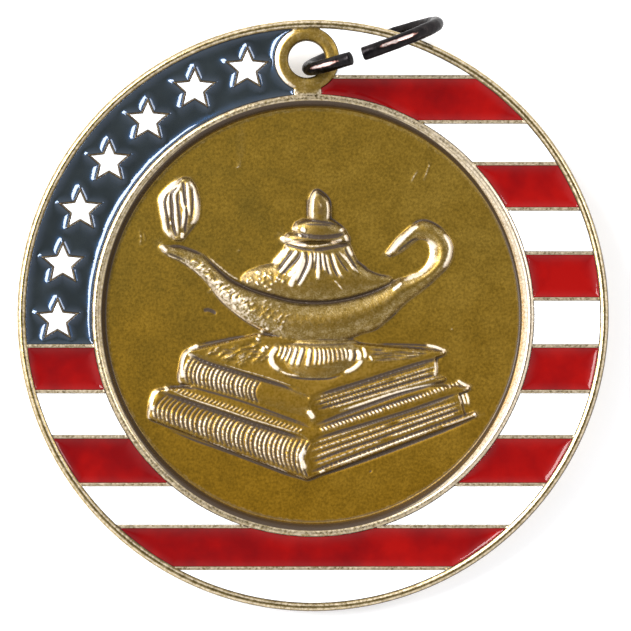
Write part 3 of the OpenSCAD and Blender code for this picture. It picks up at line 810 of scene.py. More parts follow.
# Lines drawn on the forms. Columns: width in thousandths, height, tone, then the points' x and y
LAMP_LINES = [
    # The groove under the bowl's rim and the lip above it
    (10.5, -0.16, -1.0, [-545, 300, -494, 259, -442, 208, -391, 167, -340, 141, -288, 120,
        -186, 90, -83, 67, 50, 62, 155, 75, 258, 103, 329, 131, 386, 162, 437, 182]),
    (6, 0.05, 0.45, [-500, 280, -442, 229, -391, 190, -340, 163]),
    # The spout
    (8, -0.07, -1.0, [-694, 330, -636, 328, -580, 310, -530, 290]),
    (4.5, 0.05, 0.7, [-692, 287, -668, 278, -644, 272]),
    (6, -0.06, -0.7, [-700, 300, -660, 284, -610, 262]),
    (12, 0.1, 1.0, [-728, 336, -714, 318, -698, 302]),
    # The handle
    (10, 0.09, 1.0, [430, 165, 475, 186, 510, 200, 545, 232, 566, 275, 568, 315, 556, 350,
        542, 372]),
    (8.5, 0.07, 0.9, [380, 122, 405, 140, 425, 158]),
    (11, 0.09, 1.0, [622, 392, 645, 362, 657, 325, 652, 285, 638, 250, 620, 225]),
    (12, 0.11, 1.0, [354, 292, 385, 322, 418, 357, 448, 388, 480, 417, 505, 432]),
    (6, -0.06, -0.9, [470, 432, 505, 452, 545, 453, 585, 435, 618, 412]),
    (7, -0.06, -0.7, [400, 300, 440, 335, 478, 362, 505, 370]),
    # The rings and the collar
    (15, 0.1, 1.0, [-146, 378, -140, 366, -124, 357]),
    (10.5, 0.09, 1.0, [-140, 362, -110, 354, -80, 346, -50, 338, -25, 334]),
    (7, 0.05, 0.5, [-40, 334, 5, 329, 50, 336, 100, 349]),
    (7, 0.08, 1.0, [85, 346, 115, 353, 140, 363]),
    (9.5, 0.09, 1.0, [152, 386, 160, 370, 164, 352]),
    (11, -0.1, -1.1, [-96, 389, -45, 382, 10, 374.5, 60, 374.5, 110, 380, 155, 392]),
    (5.5, 0.07, 1.0, [-73, 389, -62, 383, -52, 377]),
    (4, 0.05, 0.9, [-28, 377, -22, 374]),
    (5.5, -0.08, -1.0, [-137, 345, -95, 330, -42, 317, 6, 312]),
    (8.5, -0.1, -1.2, [0, 312, 58, 319, 112, 330, 172, 342]),
    (6.5, -0.08, -1.0, [-76, 436, -42, 450, -5, 453, 37, 447, 80, 441, 114, 430]),
    (6, -0.05, -0.7, [-40, 436, 10, 434, 60, 432, 95, 426]),
    (11, 0.1, 1.0, [-82, 424, -90, 404]),
    (10, 0.09, 1.0, [-60, 414, -34, 402]),
    (11, 0.1, 1.0, [132, 416, 144, 402]),
    # The knob: raised lines down its sides painted bright as highlights, and painted shade down its
    # middle
    (12, 0.09, 1.0, [8, 590, -4, 560, -8, 520, -8, 480, -2, 456]),
    (7, 0.08, 1.0, [68, 552, 72, 520, 73, 490, 70, 456]),
    (22, -0.01, -0.45, [34, 560, 36, 520, 36, 470]),
    (4.5, -0.05, -0.9, [18, 590, 40, 578, 60, 562]),
    (4, -0.04, -0.8, [-26, 560, -28, 510, -26, 460]),
    (4, 0.03, 0.4, [30, 548, 36, 530, 40, 510]),
    # The lid's flutes, from the left
    (12, 0.1, 1.0, [-116, 325, -150, 288, -190, 242]),
    (9.5, 0.1, 1.0, [-74, 310, -104, 276, -134, 236, -160, 200]),
    (12, 0.1, 1.0, [-46, 304, -60, 262, -84, 222, -118, 184]),
    (13, 0.09, 1.0, [-42, 276, -60, 222, -86, 166]),
    (12, 0.08, 0.9, [-78, 200, -96, 168, -110, 136]),
    (8.5, 0.1, 1.0, [-5, 302, -18, 236, -42, 188, -71, 138]),
    (4.5, 0.08, 0.9, [11, 302, 6, 250]),
    (8, 0.1, 1.0, [24, 302, 24, 240, 24, 184, 18, 172]),
    (5, 0.08, 0.95, [45, 302, 48, 256, 58, 209]),
    (6, 0.08, 1.0, [62, 292, 74, 225, 87, 192]),
    (6, 0.08, 1.0, [90, 302, 112, 230, 138, 182]),
    (4.5, 0.06, 0.7, [122, 308, 175, 246, 202, 209]),
    (4.5, 0.06, 0.6, [140, 300, 190, 236, 225, 196]),
    (9, 0.08, 1.0, [164, 332, 176, 306, 188, 284]),
    (4, 0.05, 0.6, [98, 172, 120, 148, 143, 120]),
    (6, -0.08, -1.1, [-94, 312, -130, 268, -169, 214]),
    (6.5, -0.08, -1.1, [-58, 306, -70, 276, -111, 235, -153, 192]),
    (6.5, -0.08, -1.1, [-30, 306, -30, 248, -52, 194, -79, 140]),
    (4.5, -0.06, -0.9, [-2, 306, 0, 250, -6, 215]),
    (4.5, -0.06, -0.9, [17, 304, 14, 250, 10, 210]),
    (4.5, -0.06, -1.0, [36, 296, 38, 240, 40, 210]),
    (4.5, -0.06, -1.0, [54, 300, 64, 240, 78, 190]),
    (5, -0.07, -1.0, [78, 298, 98, 225, 122, 180]),
    (4.5, -0.06, -0.9, [106, 300, 140, 244, 172, 205]),
    (5, -0.06, -1.0, [150, 322, 178, 270, 212, 220]),
    (4, -0.05, -0.9, [-77, 236, -74, 232]),
    (4, -0.05, -0.9, [-106, 215, -103, 211]),
    (4, -0.05, -0.9, [-100, 173, -99, 168]),
    (6, -0.05, -0.7, [215, 262, 240, 232, 270, 205]),
    (6, -0.05, -0.7, [250, 222, 310, 196, 365, 184]),
    # The foot
    (11, 0.1, 1.0, [-170, -148, -198, -190, -192, -232, -160, -262]),
    (5.5, 0.06, 0.6, [-160, -262, -120, -280, -60, -290]),
    (5.5, -0.06, -0.8, [-130, -290, -40, -302, 65, -302, 140, -284]),
    (8.5, 0.08, 1.0, [150, -272, 190, -256, 215, -236, 236, -212]),
    (8.5, 0.09, 1.0, [176, -160, 182, -190, 172, -220]),
    (8.5, 0.09, 1.0, [212, -162, 222, -192, 216, -215]),
    (6.5, 0.07, 0.9, [240, -150, 250, -185, 246, -205]),
    (5.5, 0.05, 0.8, [270, -190, 282, -215]),
    (6, -0.06, -0.8, [196, -160, 202, -190, 192, -222]),
    (6, -0.06, -0.6, [-150, -140, -80, -136, 20, -140, 120, -138, 200, -128]),
]
FLAME_LINES = [
    (9, 0.12, 1.0, [-640, 650, -688, 609, -727, 561, -724, 513, -712, 450, -700, 402, -670, 370]),
    (7, 0.1, 1.0, [-640, 628, -660, 608, -692, 553, -688, 489, -684, 462]),
    (6.5, 0.09, 1.0, [-682, 450, -676, 432]),
    (8, 0.1, 1.0, [-625, 640, -644, 605, -664, 573, -658, 525, -656, 466, -648, 402, -646, 382]),
    (8, 0.1, 1.0, [-632, 601, -626, 561, -620, 525, -612, 500, -620, 442, -624, 414]),
    (8, 0.09, 1.0, [-622, 396, -625, 368]),
    (11, 0.13, 1.0, [-588, 434, -560, 460, -552, 520, -565, 585, -588, 645]),
    (7, 0.1, 0.9, [-600, 640, -598, 590, -594, 530, -588, 470]),
    (6, -0.09, -1.1, [-690, 590, -708, 553, -704, 505, -694, 458, -686, 402]),
    (7.5, -0.09, -1.1, [-640, 618, -676, 581, -674, 525, -672, 466, -664, 410, -650, 372]),
    (6, -0.09, -1.1, [-640, 590, -646, 545, -642, 513, -634, 454, -634, 410]),
    (7.5, -0.09, -1.1, [-620, 640, -616, 600, -612, 560, -606, 520]),
    (6, -0.09, -1.1, [-606, 520, -602, 470, -610, 420, -612, 390]),
    (5.5, -0.08, -1.0, [-578, 620, -574, 560, -576, 500, -584, 455]),
]
BOOK_LINES = [
    # The upper book: back edge, left corner, spine groove, page groove, bright end
    (6, -0.05, -0.8, [-544, -138, -450, -120, -380, -106, -308, -96]),
    (6, -0.05, -0.8, [308, -136, 420, -138, 520, -142, 600, -152]),
    (8, 0.07, 1.0, [-600, -172, -575, -156, -545, -143]),
    (8, 0.08, 1.0, [-596, -184, -560, -198]),
    (10, -0.12, -1.0, [-596, -182, -520, -220, -450, -244, -340, -278, -240, -306, -160, -330,
        -88, -358]),
    (4, 0.04, 0.45, [-450, -226, -340, -260, -240, -288, -150, -318, -70, -346]),
    (11, -0.12, -1.0, [612, -200, 500, -232, 380, -270, 250, -312, 120, -352, 20, -380]),
    (9, 0.1, 1.0, [-598, -166, -620, -200, -628, -257, -622, -300]),
    (10, 0.1, 1.0, [618, -166, 632, -172]),
    (7, 0.07, 0.9, [540, -142, 590, -152, 622, -165]),
    (8, 0.1, 1.0, [585, -218, 588, -255, 582, -290]),
    (12, 0.1, 1.0, [-24, -455, -8, -475, 2, -492]),
    (11, -0.11, -1.0, [8, -524, 150, -470, 300, -415, 450, -362, 640, -308]),
    (5.5, 0.06, 0.9, [130, -455, 250, -415, 380, -372, 500, -342, 600, -322]),
    (6, -0.05, -0.8, [-619, -331, -504, -362, -377, -398, -250, -440, -144, -480, -12, -526]),
    # The lower book
    (11, 0.08, 1.0, [-706, -356, -692, -345]),
    (11, -0.13, -1.0, [-732, -364, -600, -410, -440, -464, -280, -518, -140, -560, -42, -592]),
    (4.2, 0.05, 0.6, [-700, -344, -600, -390, -440, -444, -280, -498, -140, -540, -60, -566,
        -36, -586]),
    (5.5, -0.05, -0.8, [-690, -336, -600, -345, -560, -352]),
    (5.5, -0.05, -0.6, [-300, -440, -180, -478, -60, -518, 0, -540]),
    (8.5, 0.1, 1.0, [-732, -356, -758, -371, -772, -408, -775, -435, -764, -456]),
    (12, 0.11, 1.0, [-34, -640, -56, -668, -52, -700, -36, -735]),
    (10, -0.11, -1.0, [8, -590, 150, -548, 296, -505, 450, -458, 600, -405, 700, -368]),
    (7, -0.09, -0.9, [20, -538, 200, -478, 400, -412, 560, -362]),
    (10, 0.1, 1.0, [736, -340, 746, -344]),
    (11, 0.1, 1.0, [768, -474, 780, -472]),
    (7.5, 0.08, 0.9, [690, -312, 716, -326, 738, -338]),
    (5, 0.07, 0.9, [712, -372, 722, -402, 728, -425]),
    (5, 0.07, 0.9, [730, -368, 740, -398, 744, -425]),
    (5, 0.07, 0.7, [695, -378, 705, -405, 710, -425]),
    (5.5, 0.06, 0.65, [65, -730, 200, -680, 340, -628, 480, -575, 608, -533]),
    (5.5, 0.06, 0.6, [608, -533, 700, -502, 775, -474]),
    (8, -0.07, -0.9, [-21, -778, 100, -742, 296, -675, 450, -618, 600, -560, 770, -492]),
    (6, -0.05, -0.8, [-690, -545, -560, -598, -400, -655, -250, -712, -100, -768, -21, -782]),
    (6, 0.05, 0.7, [60, -735, 30, -752]),
]
# Scratches and specks in the field
MARKS = [
    (9, -0.05, -1.0, [-525, 22, -505, 28, -480, 20, -462, 8]),
    (8, -0.06, -1.0, [272, -742, 277, -746]),
    (5, -0.04, -0.8, [765, 590, 770, 592]),
    (4, 0.02, 0.5, [470, 640, 482, 665, 500, 690]),
    (4, 0.02, 0.4, [530, 650, 545, 690, 560, 730]),
    (4, 0.02, 0.5, [-365, 705, -350, 716]),
    (4, 0.02, 0.4, [-360, 305, -350, 315]),
    (4, 0.02, 0.5, [660, -62, 664, -68]),
    (4, 0.02, 0.35, [-828, 405, -822, 372, -826, 340]),
    (4, 0.02, 0.3, [-806, 390, -802, 362]),
]
# Flutes on the foot. Columns in thousandths: top x, bottom x, bottom y, width; then tone
FOOT_FLUTES = [
    [-150, -168, -200, 5, 0.7], [-128, -150, -212, 6, 0.8], [-104, -132, -222, 6, 0.8],
    [-78, -106, -238, 9, 1.0], [-48, -78, -242, 9, 1.0], [-14, -30, -246, 9, 1.0],
    [10, 6, -240, 5, 0.9], [30, 30, -242, 5, 0.8], [48, 52, -236, 5, 0.8], [68, 74, -232, 4, 0.7],
    [88, 96, -230, 4, 0.7], [110, 120, -226, 4, 0.6], [130, 142, -222, 4, 0.6],
    [150, 160, -214, 5, 0.7],
]
FLUTE_TOP, FLUTE_WAVE = -0.148, 0.006
# Beads between the bowl and the cover, in thousandths
BEADS = [
    (-262, -98), (-250, -80), (-225, -68), (-268, -118), (-240, -160), (-225, -155), (-245, -170)]
# The rope along the lower cover's right edge and the ticks along its left one: both ends, half of a
# mark, and how many
ROPE = (0.040, -0.547), (0.700, -0.322), np.array([-0.0065, 0.0095]), 38
TICKS = (-0.640, -0.357), (-0.060, -0.548), np.array([0.013, 0.0085]), 61


def relief_details(rel):
    """The fine relief of the books, the foot and the bowl."""
    for book, count, first, last, lean, start in (
            (UPPER_BOOK, 17, -0.01, 0.56, 0.022, lambda s: 0.0),
            (LOWER_BOOK, 33, -0.02, 0.975, 0.028, lambda s: 0.4 * rise(s, 0.4, -0.15))):
        ribs(rel, book[[0, 3]], book[[4, 5]], count, first, last, lean, start)
    page_lines(rel, UPPER_BOOK, UPPER_PAGES)
    page_lines(rel, LOWER_BOOK, LOWER_PAGES)
    a, b, half, count = ROPE
    for i in range(count):
        at, gap = between(a, b, (i + 0.3) / count), between(a, b, (i + 0.8) / count)
        rel.stroke([at - half, at + half], 0.0055, 0.06, RNG.uniform(0.4, 0.9))
        rel.stroke([gap - half, gap + half], 0.0045, -0.04, -0.6)
    for patch in COVER_PATCHES:
        hatch(rel, *patch)
    a, b, half, count = TICKS
    for k, s in enumerate(np.linspace(0, 1, count)):
        at, sign = between(a, b, s), 1 - 2 * (k % 2)
        rel.stroke([at - half, at + half], 0.0045, 0.04 * sign, 0.5 * sign)
    for *plan, tone in FOOT_FLUTES:
        x0, x1, y1, width = np.array(plan) / 1000
        top = FLUTE_TOP - FLUTE_WAVE * math.sin(x0 * 12 + 1)
        middle = ((x0 + x1) / 2 + 0.004, (top + y1) / 2)
        rel.stroke([(x0, top), middle, (x1, y1)], width, 0.09, tone, 0.25, 0.2)
        rel.stroke([(x0 + 0.013, top), (x1 + 0.014, y1 + 0.008)], 0.0045, -0.06, -0.7, 0.25, 0.2)
    for patch in LAMP_PATCHES:
        hatch(rel, *patch)
    for bead in np.array(BEADS) / 1000:
        rel.stroke([bead, bead + [0.010, 0.008]], 0.008, 0.07, 0.9)


# Forms are blurred by this before the fine relief is drawn
SOFT_MM = 0.06


def make_relief():
    rel = Relief()
    for book in (LOWER_BOOK, UPPER_BOOK):
        book_forms(rel, book)
    books = rel.h.copy()
    for along, across, side, power, grain, rows in FORMS:
        loft(rel, np.array(rows) / 1000, arch(side, power), along, across, grain)
    on_lamp = rel.h > books + 0.01
    rel.h = rel.blurred(SOFT_MM)
    lean = np.hypot(*rel.slopes())
    # Painted highlight: slopes are painted paler, those of the lamp most.
    rel.pale = np.where(on_lamp, 0.55, 0.2) * rise(lean, 0.06, 0.3)
    rel.groove_and_shade = np.where(on_lamp & (rel.grain < 0.5), 0.25, 0.18) * rise(rel.h, 0, 0.2)
    rel.wear_and_paint_light(np.where(on_lamp, 1.0, 0.9))
    rel.granulate_and_paint_highlight()
    relief_details(rel)
    for width, height, tone, points in BOOK_LINES + LAMP_LINES + FLAME_LINES + MARKS:
        line = np.reshape(points, (-1, 2)) / 1000
        rel.stroke(line, width / 1000, height, tone, 0.18, 0.15)
    return rel


RELIEF = make_relief()


# The field's mesh: close points where the relief bends, and few where it is plain

FIELD_PITCH = 0.086 / FIELD_R
# Grids of points. Columns: step over the pitch, least bend in 1/mm
FIELD_GRIDS = [(1, 1.1), (2, 0.12), (6, -1.0)]


def field_height(u, v):
    """The relief over a field that is a little uneven, and flat again at its rim."""
    waves = 0.006 * np.sin(u * 9.1 + 1.3) * np.sin(v * 7.7 + 0.4) + 0.004 * np.sin(u * 23 + v * 17)
    return FIELD_Z + RELIEF.sample(RELIEF.h, u, v) + waves * rise(np.hypot(u, v), 0.96, -0.05)


def field_points():
    h = RELIEF.h
    bend = 4 * h - np.roll(h, 1, 0) - np.roll(h, -1, 0) - np.roll(h, 1, 1) - np.roll(h, -1, 1)
    bend = np.abs(bend) / (GRID * FIELD_R) ** 2
    for shift in (1, 2):
        for axis in (0, 1):
            aside = np.maximum(np.roll(bend, shift, axis), np.roll(bend, -shift, axis))
            bend = np.maximum(bend, aside)
    out = []
    for times, least in FIELD_GRIDS:
        step = times * FIELD_PITCH
        n = int(0.97 / step)
        p = grid_points((-n, -n), (n + 1, n + 1), 1) * step
        keep = radius(p) < SLOPE_FOOT / FIELD_R - 0.6 * step
        keep &= RELIEF.sample(bend, *p.T) > least
        on_grid = ((p >= GRID_BOX[:2]) & (p <= GRID_BOX[2:])).all(1)
        out.append(p[keep & (on_grid | (least < 0))])
    return thin_out(np.vstack(out), FIELD_PITCH / 2) * FIELD_R


def add_field(body):
    inner = field_points()
    inner = inner[radius(inner) < SLOPE_FOOT - 0.3]
    rim = circle(SLOPE_FOOT, TURN)
    foot = [circle(SLOPE_FOOT - 0.03, TURN), circle(SLOPE_FOOT - 0.2, TURN // 2)]
    p, f = triangulate(np.vstack([rim] + foot + [inner]), loop_edges(0, TURN))
    u, v = p[:, 0] / FIELD_R, p[:, 1] / FIELD_R
    z = field_height(u, v)
    layers = (RELIEF.crest_and_highlight, RELIEF.groove_and_shade, RELIEF.pale)
    tone = np.stack([RELIEF.sample(layer, u, v) for layer in layers], 1)
    on_rim = radius(p) > SLOPE_FOOT - 0.01
    z[on_rim], tone[on_rim] = FIELD_Z, 0
    body.add(with_z(p, z), f, tone)


# The rims, turned about the disc's middle. Columns: radius, height
INNER_RIM = [
    [17.55, 1.500], [17.70, 1.502], [17.79, 1.518], [17.86, 1.575], [17.92, 1.690], [17.98, 1.845],
    [18.04, 1.995], [18.10, 2.110], [18.17, 2.200], [18.25, 2.275], [18.34, 2.345], [18.42, 2.400],
    [18.50, 2.450], [18.57, 2.482], [18.64, 2.498], [18.71, 2.497], [18.78, 2.478], [18.84, 2.452],
    [18.89, 2.425], [18.93, 2.400], [18.97, 2.380],
]
OUTER_RIM = [
    [24.68, 2.380], [24.71, 2.398], [24.76, 2.424], [24.84, 2.458], [24.91, 2.482], [24.97, 2.496],
    [25.02, 2.500], [25.08, 2.494], [25.14, 2.474], [25.20, 2.444], [25.26, 2.402], [25.31, 2.352],
    [25.35, 2.290], [25.38, 2.210], [25.40, 2.100], [25.40, 1.250], [25.40, 0.400], [25.39, 0.250],
    [25.33, 0.110], [25.25, 0.035], [25.15, 0.002],
]


def inner_tones(r, a):
    """Crest, groove and rim on the inner rim: a dark slope of painted shade, thin on the right, and
    a crown with a painted highlight, brighter on the right.
    """
    right, bottom = np.clip(np.cos(a), 0, 1) ** 2, np.clip(-np.sin(a), 0, 1) ** 2
    middle = 18.07 - 0.13 * np.cos(2 * a) - 0.04 * np.cos(a) - 0.05 * right
    half = 0.22 * (1 - 0.6 * right + 0.2 * bottom)
    neck = bell(a, BOSS_ANGLE, math.radians(6.5), 4)
    # Fine dark lines round the rim: radius, width, strength. Those on the right and at the bottom
    # only are painted shade.
    lines = sum(strength * bell(r, at, width) for at, width, strength in (
        (18.42, 0.03, 0.45), (18.97, 0.05, 0.9 * (1 - neck)), (18.69, 0.05, 0.85 * right),
        (17.70, 0.12, 0.5 * np.clip(right + bottom, 0, 1))))
    crown = rise(r, middle + 0.4 * half, 0.08)
    dark = np.clip(bell(r, middle, half, 4) + lines, 0, 1)
    return np.c_[(0.35 + 0.2 * right) * crown, dark, np.clip(0.2 + crown, 0, 1)]


def outer_tones(r, a):
    """Crest, groove and rim on the outer rim, with its outer edge browned by painted shade, most
    towards the lower right.
    """
    edge = rise(r, 25.27, 0.06) * np.clip(0.35 + 0.75 * np.cos(a + 0.8), 0, 1)
    foot = rise(r, 24.75, -0.06)
    pale = bell(r, 24.86, 0.1, 4) + bell(r, 25.2, 0.1, 4)
    return np.c_[0.45 * pale * (1 - edge), np.clip(0.75 * edge + 0.9 * foot, 0, 1), np.ones_like(a)]


def add_rim(body, rows, tones):
    a, ring = turn_angles(TURN), circle(1.0, TURN)
    for (r0, z0), (r1, z1) in zip(rows, rows[1:]):
        tone = np.vstack([tones(r0, a), tones(r1, a)])
        body.strip(with_z(ring * r0, z0), with_z(ring * r1, z1), tone)


# The band's metal: the width of its rounded edges, and the rings of points round the hole
FILLET = 0.1
BOSS_FLANK = 2.35
BOSS_RINGS = [1.66, 1.72, 1.8, 1.95, 2.1, 2.25, BOSS_FLANK, 2.42, 2.55, 2.68]
CELL_TONE = (0, 0.8, 0.5)
# Inner points stay this far from the band's edges and the hole, and from the cells' walls
EDGE_GAP, CELL_GAP = 0.03, 0.035


def top_height(p, d):
    """Height of the band's metal at a distance d from the cells, with the boss's top and flank."""
    off = radius(p, HOLE_AT)
    boss = 0.07 * rise(off, HOLE_R, 0.3) - 0.45 * rise(off, BOSS_FLANK, 1)
    on_boss = (radius(p) < BAND_OUT) & (off < BOSS_R + 0.02)
    boss = np.where(on_boss, boss, 0) * rise(radius(p), BAND_IN, 0.4)
    lip = 0.12 * rise(off, HOLE_R + 0.18, -0.18) ** 2
    return BAND_Z - 0.06 * rise(d, FILLET, -FILLET) ** 2 + boss - lip


def band_tones(p, d):
    """Crest, groove and rim on the band's metal, at a distance d from the cells, with a painted
    highlight on the boss's left flank.
    """
    off = radius(p, HOLE_AT)
    boss = off < BOSS_R + 0.01
    stars = np.min([radius(p, star_centre(i)) for i in range(STAR_COUNT)], 0) < STAR_R + 0.05
    # Painted highlight on the boss's flank, strongest on its left
    lit = np.clip(-0.2 + 1.4 * (HOLE_AT[0] - p[:, 0]) / np.maximum(off, 0.1), 0, 1)
    crest_and_highlight = np.where(boss, 0.9 * lit * rise(off, BOSS_FLANK, 0.15), np.where(stars, 0, 0.4))
    groove_and_shade = np.where(stars, 0.5, 0.75 * rise(d, 0.07, -0.07)) + np.where(boss, 0.14, 0)
    return np.c_[crest_and_highlight, groove_and_shade, np.where(boss, 0.28, 0.95)]


def band_points():
    """Points on the band's metal, close along the cells and round the hole."""
    points = [inset(loop, d, -1) for loop in ALL_LOOPS for d in (0.045, 0.1)]
    points = np.vstack(points + [circle(r, HOLE_TURN, HOLE_AT) for r in BOSS_RINGS])
    r = radius(points)
    keep = (cell_of(points) == METAL) & (r > BAND_IN + EDGE_GAP) & (r < BAND_OUT - EDGE_GAP)
    points = points[keep & (radius(points, HOLE_AT) > HOLE_R + EDGE_GAP)]
    return thin_out(points[wall_distance(points, ALL_LOOPS) > CELL_GAP], 0.05)


def height_lookup(p, z):
    """A function that gives the heights z of the triangulated points p on a loop among them."""
    where = {tuple(np.round(q, 4)): h for q, h in zip(p, z)}

    def heights(loop):
        return np.array([where[tuple(np.round(q, 4))] for q in np.float32(loop).astype(float)])

    return heights


def add_band(body):
    """The band's metal, the walls and floors of its cells, and the hole's wall down to the back."""
    hole = circle(HOLE_R, HOLE_TURN, HOLE_AT)
    rims = [circle(BAND_IN - LEDGE, TURN), circle(BAND_OUT + LEDGE, TURN)]
    points, edges = stack(rims + [hole] + ALL_LOOPS)
    p, f = triangulate(np.vstack([points, band_points()]), edges, odd=True)
    d, r = wall_distance(p, ALL_LOOPS), radius(p)
    z = top_height(p, d)
    z[(r < BAND_IN - 0.005) | (r > BAND_OUT + 0.005)] = BAND_Z
    body.add(with_z(p, z), f, band_tones(p, d))
    heights = height_lookup(p, z)
    for loop in ALL_LOOPS:
        body.strip(with_z(loop, heights(loop)), with_z(loop, CELL_Z), CELL_TONE)
    for loops in LOOPS:
        q, g = triangulate(*stack(loops), odd=True)
        body.add(with_z(q, CELL_Z), g, CELL_TONE)
    back_lip = circle(HOLE_R + 0.12, HOLE_TURN, HOLE_AT)
    rows = [with_z(hole, z) for z in (heights(hole), 1.7, 0.12)] + [with_z(back_lip, BACK_Z)]
    for upper, lower, groove_and_shade in zip(rows, rows[1:], (0.3, 0.5, 0.3)):
        body.strip(upper, lower, (0, groove_and_shade, 0.4))
    return back_lip


def add_back(body, back_lip):
    """The back's rim round its sunk field, which is a little uneven."""
    inner, outer = circle(BACK_R + 0.08, TURN), circle(MEDAL_R - EDGE_ROUND, TURN)
    p, f = triangulate(*stack([inner, outer, back_lip]), odd=True)
    body.add(with_z(p, BACK_Z), f, (0, 0, 0.5))
    wall, foot = with_z(circle(BACK_R, TURN), 0.05), circle(BACK_R - 0.1, TURN)
    body.strip(with_z(inner, BACK_Z), wall, (0.2, 0, 0.5))
    body.strip(wall, with_z(foot, BACK_RECESS), (0, 0.6, 0.3))
    rings = [circle(r, max(12, int(r * 10))) for r in np.arange(1.0, BACK_R - 0.5, 1.0)]
    p, f = triangulate(np.vstack([foot] + rings + [np.zeros((1, 2))]), loop_edges(0, TURN))
    waves = 0.012 * np.sin(p[:, 0] * 0.9) * np.sin(p[:, 1] * 0.7 + 1)
    body.add(with_z(p, BACK_RECESS + np.where(radius(p) < BACK_R - 0.2, waves, 0)), f)


# Materials

class Nodes:
    """Short ways to add and link nodes. An input is a number, a colour or another node's output."""

    def __init__(self, tree):
        self.tree = tree

    def feed(self, node, inputs):
        for key, value in inputs.items():
            if isinstance(value, bpy.types.NodeSocket):
                self.tree.links.new(value, node.inputs[key])
            else:
                node.inputs[key].default_value = value

    def new(self, kind, inputs=None, **settings):
        node = self.tree.nodes.new(kind)
        for key, value in settings.items():
            setattr(node, key, value)
        self.feed(node, inputs or {})
        return node

    def place(self):
        return self.new("ShaderNodeTexCoord").outputs["Object"]

    def along(self, axis):
        return self.new("ShaderNodeSeparateXYZ", {0: self.place()}).outputs[axis]

    def noise(self, size_mm, detail=2.0, rough=0.5, stretch=(1, 1, 1), shift=0.0):
        """Noise with features of about a size, from 0 to 1."""
        place = self.new("ShaderNodeMapping", {
            "Vector": self.place(), "Location": (shift, shift * 0.7, shift * 0.3),
            "Scale": stretch})
        return self.new("ShaderNodeTexNoise", {
            "Vector": place.outputs[0], "Scale": 1 / MM / size_mm, "Detail": detail,
            "Roughness": rough}).outputs[0]

    def ramp(self, value, stops):
        """A colour ramp with stops (place, colour)."""
        node = self.new("ShaderNodeValToRGB", {0: value})
        band = node.color_ramp
        while len(band.elements) < len(stops):
            band.elements.new(0.5)
        for e, (at, color) in zip(band.elements, stops):
            e.position, e.color = at, color
        return node.outputs[0]

    def scale(self, value, low, high, to_low=0.0, to_high=1.0):
        return self.new("ShaderNodeMapRange", {
            "Value": value, "From Min": low, "From Max": high, "To Min": to_low,
            "To Max": to_high}).outputs[0]

    def mix(self, factor, a, b):
        return self.new("ShaderNodeMix", {0: factor, 6: a, 7: b}, data_type="RGBA").outputs[2]

    def add(self, a, b):
        return self.new("ShaderNodeMath", {0: a, 1: b}, operation="ADD").outputs[0]

    def times(self, a, b):
        return self.new("ShaderNodeMath", {0: a, 1: b}, operation="MULTIPLY").outputs[0]

    def value(self, name):
        return self.new("ShaderNodeAttribute", attribute_name=name).outputs["Fac"]

    def bump(self, height, strength, distance_mm, **into):
        return self.new("ShaderNodeBump", {
            "Height": height, "Strength": strength, "Distance": distance_mm * MM, **into
        }).outputs[0]


def material(name):
    """A new material, its ways to add nodes and its shader node."""
    mat = bpy.data.materials.new(name)
    mat.use_nodes = True
    mat.node_tree.nodes.clear()
    n = Nodes(mat.node_tree)
    bsdf = n.new("ShaderNodeBsdfPrincipled")
    n.new("ShaderNodeOutputMaterial", {0: bsdf.outputs[0]})
    return mat, n, bsdf


def shades(*rows):
    """Stops of a colour ramp. Columns: place, then red, green and blue in sRGB from 0 to 255."""
    return [(at, srgb(*color)) for at, *color in rows]


def srgb(*color):
    linear = [c / 12.92 / 255 if c <= 10 else ((c / 255 + 0.055) / 1.055) ** 2.4 for c in color]
    return (*linear, 1.0)


